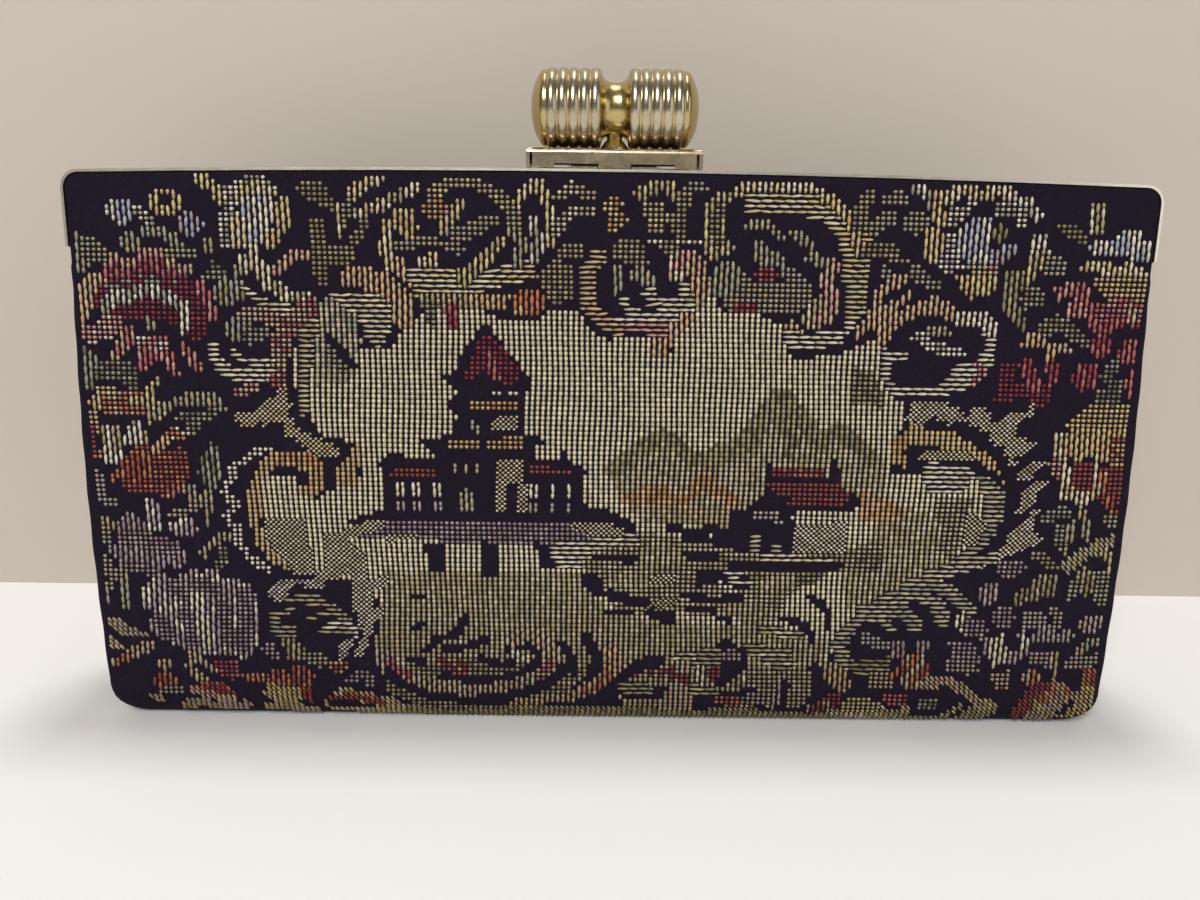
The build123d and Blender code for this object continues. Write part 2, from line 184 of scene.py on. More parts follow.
def ramp(tree, value, low, high):
    node = tree.nodes.new("ShaderNodeMapRange")
    node.inputs["From Min"].default_value = low
    node.inputs["From Max"].default_value = high
    tree.links.new(value, node.inputs["Value"])
    return node.outputs["Result"]


def bump(tree, shader, height, strength, distance):
    node = tree.nodes.new("ShaderNodeBump")
    setInputs(node, Strength=strength, Distance=distance)
    tree.links.new(height, node.inputs["Height"])
    tree.links.new(node.outputs["Normal"], shader.inputs["Normal"])


def newGroup(name, ins, outs):
    group = bpy.data.node_groups.new(name, "ShaderNodeTree")
    for way, sockets in (("INPUT", ins), ("OUTPUT", outs)):
        for label, kind in sockets.items():
            group.interface.new_socket(label, in_out=way, socket_type="NodeSocket" + kind)
    return group, group.nodes.new("NodeGroupInput"), group.nodes.new("NodeGroupOutput")


def placeGroup(tree, group, **values):
    node = tree.nodes.new("ShaderNodeGroup")
    node.node_tree = group
    setInputs(node, **values)
    return node


even = (1, 1, 1)  # noise that is not drawn out along an axis


def buildPlatingWear():  # plate worn through to brass, with tarnish clouds and fine scratches
    group, entry, leave = newGroup(
        "platingWear", {"Plate": "Color", "Brass": "Color", "Tarnish": "Color",
                        "Wear": "Float", "Clouds": "Float", "Polish": "Float"},
        {"Colour": "Color", "Roughness": "Float", "Height": "Float"})
    cloud = noise(group, even, scale=160.0, detail=5.0, roughness=0.6)
    patch = noise(group, (1, 1.6, 1.6), scale=420.0, detail=4.0, roughness=0.65)
    scratch = noise(group, (1.0, 5.0, 9.0), scale=700.0, detail=2.0, roughness=0.5)
    worn = mathNode(group, "MULTIPLY", ramp(group, patch, 0.42, 0.68), entry.outputs["Wear"])
    dull = mathNode(group, "MULTIPLY", ramp(group, cloud, 0.45, 0.75), entry.outputs["Clouds"])
    colour = mixColour(group, worn, entry.outputs["Plate"], entry.outputs["Brass"])
    colour = mixColour(group, dull, colour, entry.outputs["Tarnish"])
    group.links.new(colour, leave.inputs["Colour"])
    rough = mathNode(group, "ADD", entry.outputs["Polish"], mathNode(group, "MULTIPLY", dull, 0.3))
    rough = mathNode(group, "ADD", rough, mathNode(group, "MULTIPLY", scratch, 0.12))
    group.links.new(rough, leave.inputs["Roughness"])
    group.links.new(scratch, leave.inputs["Height"])
    return group


def buildThreadWeave():  # over and under of fine yarns, across X and up Z, with painted shade darker where the yarn dips under
    group, entry, leave = newGroup("threadWeave", {"Across": "Float", "Up": "Float", "Slub": "Float"},
                                   {"Height": "Float", "PaintedShade": "Float"})
    split = group.nodes.new("ShaderNodeSeparateXYZ")
    group.links.new(objectCoords(group), split.inputs[0])
    waves = [mathNode(group, "MULTIPLY", split.outputs[axis], entry.outputs[way])
             for axis, way in (("X", "Across"), ("Z", "Up"))]
    slub = noise(group, even, scale=900.0)
    over = mathNode(group, "MULTIPLY", *[mathNode(group, "SINE", wave) for wave in waves])
    height = mathNode(group, "ADD", mathNode(group, "MULTIPLY", over, 0.5),
                      mathNode(group, "MULTIPLY", slub, entry.outputs["Slub"]))
    group.links.new(height, leave.inputs["Height"])
    group.links.new(ramp(group, height, -0.5, 0.9), leave.inputs["PaintedShade"])
    return group


platingWear = buildPlatingWear()
threadWeave = buildThreadWeave()


def plated(tree, shader, plate, brass, tarnish, wear, clouds, polish, scratches):
    group = placeGroup(tree, platingWear, Plate=linear(plate), Brass=linear(brass), Tarnish=linear(tarnish),
                       Wear=wear, Clouds=clouds, Polish=polish)
    setInputs(shader, Metallic=1.0)
    tree.links.new(group.outputs["Roughness"], shader.inputs["Roughness"])
    bump(tree, shader, group.outputs["Height"], strength=scratches, distance=0.00004)
    return group.outputs["Colour"]


def metalMaterial(name, **look):
    material, tree, shader = newMaterial(name)
    tree.links.new(plated(tree, shader, **look, scratches=0.25), shader.inputs["Base Color"])
    return material


def wovenMaterial(name, dark, light, across, up, slub, rough, depth, sheen, shine):
    material, tree, shader = newMaterial(name)
    group = placeGroup(tree, threadWeave, Across=across, Up=up, Slub=slub)
    lint = ramp(tree, noise(tree, even, scale=260.0, detail=6.0, roughness=0.7), 0.55, 0.85)
    pale = linear([min(255, c + 30) for c in light])
    # painted shade: the colour goes from dark to light with the yarn's height
    colour = mixColour(tree, group.outputs["PaintedShade"], linear(dark), linear(light))
    colour = mixColour(tree, mathNode(tree, "MULTIPLY", lint, 0.2), colour, pale)
    tree.links.new(colour, shader.inputs["Base Color"])
    setInputs(shader, **{"Roughness": rough, "Specular IOR Level": shine, "Sheen Weight": sheen})
    bump(tree, shader, group.outputs["Height"], strength=0.6, distance=depth)
    return material


def weftMaterial():
    material, tree, shader = newMaterial("weftYarn")
    thread = tree.nodes.new("ShaderNodeAttribute")
    thread.attribute_name = "threadColor"
    fibre = noise(tree, (2.2, 1, 1), scale=2600.0, roughness=0.6)
    # painted shade: the fibre noise that raises the bump also darkens the colour where it is low
    shade = mixColour(tree, ramp(tree, fibre, 0.3, 0.7), (0.72, 0.72, 0.72, 1), (1.08, 1.08, 1.08, 1))
    colour = mixColour(tree, 1.0, thread.outputs["Color"], shade, "MULTIPLY")
    tree.links.new(colour, shader.inputs["Base Color"])
    setInputs(shader, **{"Roughness": 0.55, "Specular IOR Level": 0.3})
    bump(tree, shader, fibre, strength=0.5, distance=0.00012)
    return material


def boardMaterial():
    material, tree, shader = newMaterial("greyBoard")
    pulp = noise(tree, even, scale=500.0, detail=6.0, roughness=0.7)
    colour = mixColour(tree, pulp, linear((120, 114, 104)), linear((168, 160, 148)))
    tree.links.new(colour, shader.inputs["Base Color"])
    setInputs(shader, Roughness=0.9)
    bump(tree, shader, pulp, strength=0.3, distance=0.0002)
    return material


def stageMaterial(name, colour):  # seen from its face only, so that other views look past it
    material, tree, shader = newMaterial(name)
    mottle = noise(tree, even, scale=6.0, detail=2.0)
    pale = linear(colour)
    deep = tuple(c * 0.965 for c in pale[:3]) + (1.0,)
    tree.links.new(mixColour(tree, mottle, deep, pale), shader.inputs["Base Color"])
    setInputs(shader, Roughness=0.85)
    side = tree.nodes.new("ShaderNodeNewGeometry")
    clear = tree.nodes.new("ShaderNodeBsdfTransparent")
    mix = tree.nodes.new("ShaderNodeMixShader")
    tree.links.new(side.outputs["Backfacing"], mix.inputs[0])
    tree.links.new(shader.outputs[0], mix.inputs[1])
    tree.links.new(clear.outputs[0], mix.inputs[2])
    tree.links.new(mix.outputs[0], tree.nodes["Material Output"].inputs["Surface"])
    return material


metals = {
    "frameRim": {"plate": (246, 240, 226), "brass": (216, 192, 148), "tarnish": (136, 114, 84),
                 "wear": 0.3, "clouds": 0.2, "polish": 0.24},
    "capNickel": {"plate": (212, 198, 170), "brass": (178, 148, 108), "tarnish": (112, 90, 66),
                  "wear": 0.5, "clouds": 0.6, "polish": 0.18},
    "rivetBrass": {"plate": (186, 170, 138), "brass": (160, 128, 82), "tarnish": (80, 66, 50),
                   "wear": 0.5, "clouds": 0.5, "polish": 0.3},
    "springSteel": {"plate": (150, 150, 152), "brass": (130, 126, 120), "tarnish": (80, 74, 68),
                    "wear": 0.3, "clouds": 0.3, "polish": 0.32},
}
cloths = {  # across and up: waves of yarn per metre, times two pi
    "blackGround": {"dark": (13, 8, 16), "light": (34, 24, 42), "across": 9400.0, "up": 7600.0, "slub": 0.5,
                    "rough": 0.8, "depth": 0.00018, "sheen": 0.0, "shine": 0.12},
    "blackFaille": {"dark": (9, 8, 10), "light": (24, 21, 26), "across": 3200.0, "up": 9000.0, "slub": 0.3,
                    "rough": 0.65, "depth": 0.0002, "sheen": 0.05, "shine": 0.2},
    "liningSatin": {"dark": (40, 36, 40), "light": (64, 58, 62), "across": 12000.0, "up": 5200.0, "slub": 0.2,
                    "rough": 0.38, "depth": 0.00008, "sheen": 0.3, "shine": 0.45},
}
frameMetal, capMetal, rivetMetal, springSteel = (metalMaterial(n, **look) for n, look in metals.items())
groundCloth, gussetCloth, liningSatin = (wovenMaterial(n, **look) for n, look in cloths.items())
weftYarn = weftMaterial()
greyBoard = boardMaterial()
print("materials made")


# the panel: a leaning board with a turned edge, places in mm across and up its face

panel = {
    "width": 206.0, "height": 111.0, "baseDepth": 34.0, "frameDepth": 19.0, "arch": 1.5, "puff": 0.45,
    "corner": 7.0, "topCorner": 2.6, "baseRoll": 5.0, "sideRoll": 1.3, "topRoll": 0.26, "turnedEdge": 4.4,
    "topTurn": 1.1, "tuck": 0.6, "armLow": 91.6, "armHigh": 93.2, "swell": 1.1, "swellFoot": 4.0,
    "broadRipple": 0.10, "fineRipple": 0.07, "fadeFrom": 0.3, "fadeTo": 9.0,  # it dies out at the edges
    "acrossWave": (0.19, 0.0, 1.3), "upWave": (0.0, 0.23, 0.4), "fineWave": (0.41, 0.17),
}
half = panel["width"] / 2
straight = half - panel["corner"]  # half the run of the base between its corners
tilt = math.atan2((panel["baseDepth"] - panel["frameDepth"]) / 2, panel["height"])
panelTop = panel["height"] / math.cos(tilt) - panel["tuck"]


def smoothStep(low, high, value):
    share = np.clip((value - low) / (high - low), 0, 1)
    return share * share * (3 - 2 * share)


def ripple(s, t, across, up, start=0.0):  # a wave over the face, in radians per mm
    return np.sin(across * s + up * t + start)


def onPanel(s, t, n):  # mm on the face to metres in the frame
    y = -panel["baseDepth"] / 2 + t * math.sin(tilt) - n * math.cos(tilt)
    z = t * math.cos(tilt) + n * math.sin(tilt)
    return np.stack([s + 0 * t, y, np.maximum(z, 0.02)], axis=-1) * mm


def halfWidth(t):  # the sides swell a little below the frame's arms
    share = np.clip((t - panel["swellFoot"]) / (panel["armLow"] - panel["swellFoot"]), 0, 1)
    tucked = panel["tuck"] * smoothStep(panel["armLow"], panel["armHigh"], t)
    return half + panel["swell"] * np.sin(np.pi * share) - tucked


def topAt(s):
    return panelTop - panel["arch"] * (s / half) ** 2


def relief(s, t):  # the cloth's slight fullness and ripple over the board
    edge = np.minimum(np.minimum(halfWidth(t) - np.abs(s), t), topAt(s) - t)
    fade = smoothStep(panel["fadeFrom"], panel["fadeTo"], edge)
    broad = panel["broadRipple"] * ripple(s, t, *panel["acrossWave"]) * ripple(s, t, *panel["upWave"])
    fine = panel["fineRipple"] * ripple(s, t, *panel["fineWave"])
    return fade * (panel["puff"] + (broad + fine))


def mirrored(rows):  # the other end of the panel, met in the other order
    return [(-s, t, -inS, inT, roll) for s, t, inS, inT, roll in rows[::-1]]


def panelOutline():  # closed, from the top left, with inward direction and roll radius at each point
    settings = {"basePoints": 111, "sideStops": (92.0, 97.0, 106.2), "sidePoints": (46, 9, 6), "arcPoints": 9,
                "topEnd": 98.0, "flatten": 0.8, "flattenLow": 91.0, "flattenHigh": 93.5}
    roll, side, topRoll = panel["baseRoll"], panel["sideRoll"], panel["topRoll"]
    corner, topCorner = panel["corner"], panel["topCorner"]
    across = np.linspace(-straight, straight, settings["basePoints"])
    stops = (corner, *settings["sideStops"])
    runs = [np.linspace(*run) for run in zip(stops, stops[1:], settings["sidePoints"])]
    upSide = np.concatenate([runs[0][:-1], runs[1][:-1], runs[2]])  # closer together at the hinge
    flat = settings["flatten"] * smoothStep(settings["flattenLow"], settings["flattenHigh"], upSide)
    arc = np.linspace(0, math.pi / 2, settings["arcPoints"])[1:-1]
    edge, shoulderTop = half - panel["tuck"] - topCorner, topAt(half) - topCorner
    base = [(s, 0.0, 0, 1, roll) for s in across]
    foot = [(half - corner + corner * math.cos(a), corner - corner * math.sin(a), -math.cos(a), math.sin(a),
             side + (roll - side) * math.sin(a) ** 2) for a in arc[::-1]]
    flank = [(halfWidth(t), t, -1, 0, side * (1 - loss)) for t, loss in zip(upSide, flat)]
    shoulder = [(edge + topCorner * math.cos(a), shoulderTop + topCorner * math.sin(a),
                 -math.cos(a), -math.sin(a), topRoll) for a in arc]
    top = [(s, topAt(s), 0, -1, topRoll) for s in (settings["topEnd"], *across[::-1], -settings["topEnd"])]
    return np.array(mirrored(flank) + mirrored(foot) + base + foot + flank + shoulder + top
                    + mirrored(shoulder), float)


def buildGroundCloth(name):
    settings = {"rollSteps": 6, "fillSteps": 24, "spine": 55.0, "spineHeight": 55.0, "thickness": 0.5,
                "slack": 0.07, "slackLow": 4.0, "slackHigh": 90.0, "slackWave": (0.21, 0.55), "flatRoll": 0.5}
    outline = panelOutline()
    s, t, inS, inT, roll = outline.T
    loose = (t > settings["slackLow"]) & (t < settings["slackHigh"])
    wobble = settings["slack"] * (1 + ripple(s, t, *settings["slackWave"])) * loose  # slack turned edge
    s, t = s + inS * wobble, t + inT * wobble
    flat = roll < settings["flatRoll"]  # under the frame the turned edge is narrow
    depth = np.where(flat, panel["topTurn"], np.maximum(panel["turnedEdge"], roll))
    rings = [onPanel(s, t, -(roll + (depth - roll) * share)) for share in (1.0, 0.5)]
    for step in range(settings["rollSteps"] + 1):
        turn = math.pi / 2 * (1 - step / settings["rollSteps"])
        inset = roll * (1 - math.sin(turn))
        rings.append(onPanel(s + inS * inset, t + inT * inset, -roll * (1 - math.cos(turn))))
    startS, startT = s + inS * roll, t + inT * roll
    spine = settings["spine"]  # the rings close on a line along the middle
    endS = np.clip(startS * spine / straight, -spine, spine)
    for step in range(1, settings["fillSteps"] + 1):
        share = step / settings["fillSteps"]
        fillS = startS + (endS - startS) * share
        fillT = startT + (settings["spineHeight"] - startT) * share
        rings.append(onPanel(fillS, fillT, relief(fillS, fillT)))
    piece = newPiece(name, np.concatenate(rings), gridFaces(len(rings), len(outline), closed=True))
    mergeAndOrient(piece, distance=0.00002)
    faceTowards(piece, Vector((0, -1, 0)))
    applyModifier(piece, "SOLIDIFY", thickness=settings["thickness"] * mm, offset=-1.0, use_even_offset=False)
    dress(piece, groundCloth)
    return piece


frontCloth = buildGroundCloth("frontCloth")
rearCloth = turnedCopy(frontCloth, "rearCloth")
print("ground cloth:", len(frontCloth.data.polygons), "faces")


# the woven picture: motifs in percent of the panel, across and up

threads = {
    "cream": (222, 209, 174), "pale": (198, 184, 150), "straw": (172, 158, 114), "white": (224, 216, 194),
    "gold": (200, 168, 110), "ochre": (188, 144, 84), "yellow": (206, 188, 128), "orange": (190, 118, 72),
    "rust": (148, 72, 52), "crimson": (148, 52, 60), "wine": (114, 36, 46), "rose": (182, 100, 94),
    "pink": (206, 150, 134), "mauve": (146, 122, 122), "lilac": (172, 154, 152), "blue": (172, 174, 186),
    "sage": (158, 156, 130), "olive": (138, 128, 86), "moss": (114, 110, 82), "tan": (198, 172, 132),
    "peach": (210, 170, 122),
}
stitches = {  # length and width in pitches, lean; a dash or a row adds the run that it passes over
    "dash": (0.1, 0.7, 0.0), "row": (0.05, 0.62, math.pi / 2), "twill": (1.4, 0.62, -0.65),
    "dot": (0.74, 0.84, 0.0), "check": (0.5, 0.64, 0.0), "cord": (1.12, 0.76, 0.0),
}
weave = {
    "pitchAcross": 1.06, "pitchUp": 0.97, "edge": 1.0, "footEdge": 1.6, "topEdge": 0.9, "height": 0.55,
    # the foot settings are painted shade: they darken the stitch colours towards the foot, over this height
    # in mm
    "spread": 1.3, "wander": 0.22, "paintedFootShade": 0.45, "paintedFootShadeHigh": 28.0,
    "slowSway": (0.03, 0.11), "quickSway": (0.17, 0.31), "quickShare": 0.5,
    "firstShare": 0.62,  # of two threads, how often the first one shows
    "aspect": 0.54,  # a percent up the panel over a percent across it
}


def smoothCurve(points, steps=14):  # even curve through the given points
    p = np.array([points[0], *points, points[-1]], float)
    out = []
    for i in range(1, len(p) - 2):
        for k in range(steps):
            u = k / steps
            out.append(0.5 * (2 * p[i] + (p[i + 1] - p[i - 1]) * u
                              + (2 * p[i - 1] - 5 * p[i] + 4 * p[i + 1] - p[i + 2]) * u ** 2
                              + (3 * p[i] - p[i - 1] - 3 * p[i + 1] + p[i + 2]) * u ** 3))
    return np.array(out + [p[-2]])


def straightCurve(points, steps=12):
    a, b = np.array(points, float)
    return np.array([a * (1 - k / steps) + b * (k / steps) for k in range(steps + 1)])


# each shape gives a function that tells which stitches it covers

def area(*points):  # closed outline
    def covers(gridU, gridV, spread):
        inside = np.zeros(gridU.shape, bool)
        for (x0, y0), (x1, y1) in zip(points, points[1:] + points[:1]):
            if y0 != y1:
                inside ^= ((y0 > gridV) != (y1 > gridV)) & (gridU < x0 + (gridV - y0) * (x1 - x0) / (y1 - y0))
        return inside
    return covers


def line(width, *points):  # half width in percent of the panel's width, or one for each end
    first, last = width if isinstance(width, tuple) else (width, width)

    def covers(gridU, gridV, spread):
        start, end = first * spread, last * spread
        curve = smoothCurve(points) if len(points) > 2 else straightCurve(points)
        inside = np.zeros(gridU.shape, bool)
        for k, (x, y) in enumerate(curve):
            reach = start + (end - start) * k / (len(curve) - 1)
            inside |= (gridU - x) ** 2 + ((gridV - y) * weave["aspect"]) ** 2 < reach ** 2
        return inside
    return covers


def oval(x, y, across, up):
    return lambda gridU, gridV, spread: ((gridU - x) / across) ** 2 + ((gridV - y) / up) ** 2 < 1


def windows(low, high, *spans):  # upright openings side by side
    return [area((x0, high), (x1, high), (x1, low), (x0, low)) for x0, x1 in spans]


# threads and stitch, then shapes, each laid over those before it; "ground" takes stitches away
picture = [
    # the view inside the scrolls
    ("cream cord", area((21.8, 73.6), (23.6, 76.6), (26, 76.6), (26.2, 71), (29.4, 70.6), (30, 72.6),
     (31, 75), (32.2, 77.4), (36.2, 78), (38.2, 77.6), (40, 76), (43, 76), (44.4, 78), (46.8, 77.6),
     (48, 74.6), (49.6, 73), (53.6, 73.4), (54, 70.6), (55.6, 70.6), (55.8, 73.4), (57.4, 75.6), (58.4, 79),
     (58.8, 81.4), (59.8, 81.4), (60.2, 77.6), (62, 78), (64, 77.6), (66, 75.6), (66.4, 72), (68.6, 70.4),
     (70.6, 70.4), (72, 71.6), (73.6, 73), (74.4, 73.4), (75.4, 71.6), (76, 69), (76.2, 66), (75.6, 64.6),
     (76.2, 64), (78, 62), (78, 58), (77, 57), (76.6, 52), (77, 49.4), (80, 50), (84.4, 49.6), (87, 48),
     (88, 45), (87.8, 40), (86.8, 36), (84.6, 32.4), (83.8, 30), (80, 27.4), (79, 26), (76.4, 24), (74.2, 22),
     (73.4, 19), (72.6, 16), (71.8, 13), (70.6, 11.4), (64.4, 11.6), (64, 8), (60, 8), (58.6, 2.6),
     (51.6, 2.6), (51.4, 6), (52, 9.6), (50.8, 12), (50, 14.8), (48.6, 17), (47.8, 17), (48.4, 11), (46.8, 9),
     (45.6, 7), (43, 8.6), (38, 8), (34, 8.4), (30, 11), (28.4, 14), (27.2, 18), (27.4, 22), (27, 26),
     (25, 28), (22, 28.4), (19.4, 29), (17.6, 31.6), (16.4, 35), (16.3, 40), (16.6, 46), (17.4, 48),
     (19.8, 48), (20.4, 46), (20.4, 44), (22.2, 43.6), (23.6, 45.6), (25.6, 46), (26.6, 50), (26.4, 54),
     (24.6, 54.4), (22.6, 55.4), (21.8, 58), (20.4, 64), (20.2, 70))),
    ("straw pale cord", area((28, 29.6), (47.6, 30), (50, 22), (62, 20), (72.6, 17), (71, 11.4), (64, 8),
     (58, 2.6), (51.6, 2.6), (50, 14), (46, 7), (38, 8), (30, 11), (27.2, 18)),
     area((76.6, 44), (81, 42), (84, 36), (83, 31), (79, 26.4), (74, 23), (73, 30), (75, 36))),
    ("pale cream check", area((16.4, 39.8), (20, 40), (22, 37.6), (24, 37), (26.4, 33), (26.6, 29),
     (22, 28.4), (19.4, 29), (17.6, 31.6), (16.3, 35))),
    ("cream cord", line(0.5, (21.4, 40), (21.6, 34), (21.8, 31))),
    ("pale sage cord", area((21.4, 74), (22.4, 78.6), (24, 79.6), (26.4, 77), (26.6, 72), (25.4, 65),
     (22.2, 64))),
    ("pale cream row", area((23.6, 80.6), (29, 80.4), (29.4, 76), (29, 72), (28.2, 71), (27, 72.8),
     (26.4, 76.4), (24.6, 78.6))),
    ("straw pale row", area((20.6, 73), (21.4, 76.6), (22.6, 78.6), (22.8, 75), (22, 69), (21.8, 63),
     (21.4, 58.4), (20.6, 58.4))),
    ("sage straw dot", area((23.2, 71.6), (24.6, 72), (25.6, 69), (25.4, 66.4), (24.4, 66.2), (23.6, 68))),
    ("ground", line(0.4, (23.4, 72.6), (24.6, 70.4), (25.8, 67.6))),
    ("pale straw cord", area((60, 51), (62.4, 55), (64, 60), (66, 63.4), (68, 60.4), (70, 56), (71.6, 58),
     (73.4, 56), (76.4, 50), (76.4, 44), (60, 42)),
     area((50, 48), (52.4, 53), (55, 56.4), (57.6, 53), (60.4, 53.4), (62, 48), (60, 40), (53, 40))),
    ("straw olive cord", line((0.75, 0.6), (60.2, 52.6), (62.4, 54.6), (63.6, 57.4), (65, 61.2), (66, 63),
     (67.4, 60.6), (68.8, 57.6), (70, 55.4), (71.4, 57.4), (72.8, 55.6), (75.4, 51.4)),
     line((0.6, 0.5), (50.2, 49.6), (52.4, 53), (54.8, 55.8), (56.6, 54), (58.2, 51.6), (60.2, 52.6)),
     line((0.5, 0.4), (66, 61.8), (66.2, 58.6), (67.2, 55.4), (67, 53)),
     line((0.5, 0.4), (64.6, 59), (64, 56.2), (62.8, 53.4))),
    ("straw tan cord", area((54, 43.4), (62.6, 43), (62.8, 38.6), (58, 39.4), (54.6, 39.6))),
    ("ochre peach cord", area((50.8, 43.6), (51.4, 45.8), (52.6, 45.4), (53, 46.8), (56, 46.6), (56.6, 44.6),
     (57.6, 45.6), (58, 48.2), (59, 49.4), (60.2, 48.6), (60.6, 46.6), (62.2, 46.2), (63, 44.4), (61.6, 42.8),
     (60.4, 44.4), (58.4, 45), (57.4, 42.8), (55, 43.6), (53, 42.8))),
    ("peach ochre cord", area((74, 44.4), (74.6, 46.2), (75.6, 45), (77, 45.2), (78.4, 43), (78, 41),
     (74, 40.6))),
    # water and reeds
    ("straw pale dot", area((49, 38), (53, 37.6), (57, 37.4), (63.6, 37), (64.6, 34), (68, 34.4), (77, 36.4),
     (77, 31), (72, 31), (70, 29), (67.6, 25), (67, 21.4), (60, 21.6), (57, 22.6), (50.4, 22), (50, 26),
     (48.6, 30), (46, 32))),
    ("straw olive dot", area((57, 35), (66, 33), (77, 35), (77, 31), (72, 31), (70, 28), (62, 27))),
    ("ground", line((0.5, 0.4), (66, 32), (69, 31.4), (72.6, 31.8)),
     line(0.4, (55, 34.4), (58, 33.6), (60.6, 33.4)), line(0.4, (57.6, 26), (60, 25.2), (63, 25.4)),
     line(0.4, (58, 23.4), (60.4, 23), (62, 21)), line(0.4, (70, 26), (71.6, 23.6), (72, 20)),
     line(0.4, (67.6, 21.6), (69.4, 20.4), (70.4, 17.6))),
    ("straw pale cord", area((52.8, 33.6), (54, 36), (56, 36), (57.8, 33), (57, 30.8), (53, 31)),
     area((50, 30.2), (54.4, 30.4), (54, 27.6), (50.2, 27.4)),
     area((64.8, 29), (66, 30.4), (68.6, 29.6), (68.8, 27), (65, 26.6)),
     area((61, 22.4), (62, 24.6), (66.6, 24), (66.8, 22), (64, 21)),
     area((59.4, 18.2), (60, 20.4), (66.4, 20.8), (66, 18), (62, 17.8))),
    ("cream pale row", area((48.6, 38.2), (51.6, 38.4), (53.2, 37.2), (53, 35.4), (49, 35.2))),
    ("cream yellow row", line(0.35, (65.4, 33.3), (71.6, 33.2))),
    ("straw cream check", area((53.2, 22.6), (54.6, 24.8), (57.2, 26), (57, 24.4), (55, 22.8))),
    ("cream pale check", area((54, 28), (55, 30.2), (57, 30), (56.4, 28))),
    ("ground", area((59, 30.6), (61, 31), (62.4, 29.8), (64.2, 30.2), (64, 27.6), (62, 26.6), (60.6, 28),
     (58.6, 27.6))),
    ("white row", line(0.25, (61.8, 30.6), (63.2, 30.4))),
    ("white dot", line(0.25, (61, 28.4), (61.6, 27.6), (62.6, 26.8))),
    ("white row", line(0.25, (62, 29.2), (64.2, 28.6))),
    ("ground", line((0.8, 0.6), (47.6, 41.6), (50, 40.6), (52.2, 38.8)),
     line(0.5, (56, 38.8), (58.6, 38.1), (60, 38.5), (63, 37.8)),
     line((0.3, 0.5), (57.4, 36.4), (60, 36.6), (63.4, 35.4)), line(0.4, (48, 33), (50.4, 33), (52.6, 32.8)),
     line(0.5, (62.4, 31.8), (65, 31.6)), line((0.6, 0.4), (50.2, 25.8), (52, 25), (54, 24.6)),
     line((0.9, 0.7), (48.2, 28.6), (49, 26.8)), line((0.5, 0.8), (54.2, 22.4), (56, 21.6)),
     line(0.35, (50, 22.4), (52, 22.2))),
    ("cream white row", line(0.5, (44.6, 31.9), (47, 32.2)), line(0.5, (44.8, 33.4), (48, 33.9)),
     line(0.6, (44.6, 35.4), (48, 36), (51, 36.6))),
    ("straw cream row", line(0.5, (57, 13.4), (59.6, 14.2), (61, 14.6)),
     line(0.4, (58.4, 12.6), (61.4, 12.2)), line(0.5, (64.2, 15.6), (66.4, 14.8), (68, 14.4)),
     line(0.5, (65.8, 13), (68.2, 12.8)), line(0.4, (65.4, 19.6), (67, 19), (69, 18.2))),
    # the pagoda, its wings, terrace and piers
    ("ground", area((37.6, 75), (38.4, 75.5), (39.6, 72), (41, 68.6), (42.4, 65.4), (41.8, 62.6), (42, 59.8),
     (41.8, 56), (44, 55), (42.6, 52.8), (43.2, 51.3), (43.2, 39.8), (33.8, 39.8), (33.8, 51.3), (32, 54.4),
     (33.6, 54.6), (35.2, 56.4), (35.4, 59), (34.4, 60.6), (35.6, 63.6), (34, 65.6), (35.4, 67.6),
     (36, 70.6)),
     area((27.8, 50), (29.8, 52.6), (30.6, 51), (34.6, 51), (34.6, 39.8), (24, 38.6), (26, 40.6),
     (28.4, 41.4), (28.4, 48.4)),
     area((42.4, 51.2), (45, 51), (45.6, 52.8), (46.4, 50.6), (48, 49.6), (47.2, 48), (47.2, 41.8),
     (49.6, 41.4), (51, 39.8), (42.4, 39.8))),
    ("crimson wine dot", area((38, 74), (39.6, 71.4), (40.6, 69.2), (41.6, 65.6), (40, 64.8), (38.6, 66.6),
     (37.6, 67), (36, 64.6), (36.2, 67), (36.8, 69.6), (37.2, 71.6))),
    ("rose pink dash", line(0.3, (38.5, 70), (38.7, 68), (39.2, 66))),
    ("white cream dot", area((38.8, 64), (39.4, 64), (39.6, 63.2), (41.4, 63.4), (41.4, 62.5), (38.8, 62.6))),
    ("gold ochre dot", area((36.5, 61.8), (41.3, 62), (41.3, 60.2), (36.5, 60.2))),
    ("cream tan check", area((38.8, 58.8), (41.5, 59), (41.5, 56.2), (38.8, 56.2))),
    ("sage dash", line(0.3, (36.8, 57.4), (37.2, 56.6))),
    ("gold ochre dot", area((34, 52.7), (34.8, 54.8), (37.6, 55.2), (37.8, 52.7)),
     area((38.3, 55.2), (41.6, 55.4), (41.8, 52.7), (38.3, 52.7))),
    ("cream tan check", area((39, 51.4), (42, 51.4), (42, 46.8), (39, 46.8)),
     area((39, 46.8), (40.2, 46.8), (40.2, 41.2), (39, 41.2)),
     area((41.3, 46.8), (42.2, 46.8), (42, 41.2), (41.3, 41.2))),
    ("straw dash", *windows(48.8, 50.4, (35, 35.5), (36.1, 36.6)), *windows(48.8, 50.6, (37.3, 37.8))),
    ("sage straw dash", area((35.7, 45), (36.4, 46), (36.9, 45.4), (36.9, 41.4), (35.7, 41.4))),
    ("rust crimson dot", area((29.6, 49.6), (33.7, 49.8), (33.7, 48), (28.8, 48)),
     area((42.2, 50.2), (46, 49.8), (47, 48.4), (42.2, 48.3))),
    ("white cream dash", *windows(44.4, 46.7, (29.2, 30.2), (31.1, 32), (32.8, 33.8))),
    ("lilac sage dash", *windows(41.4, 43, (29.2, 30.2), (31.1, 32), (32.8, 33.8))),
    ("white cream dash", *windows(44.4, 46.8, (42.4, 43.4), (44.3, 45), (45.7, 46.6))),
    ("lilac sage dash", *windows(41.6, 43.2, (42.4, 43.4), (44.3, 45), (45.7, 46.6))),
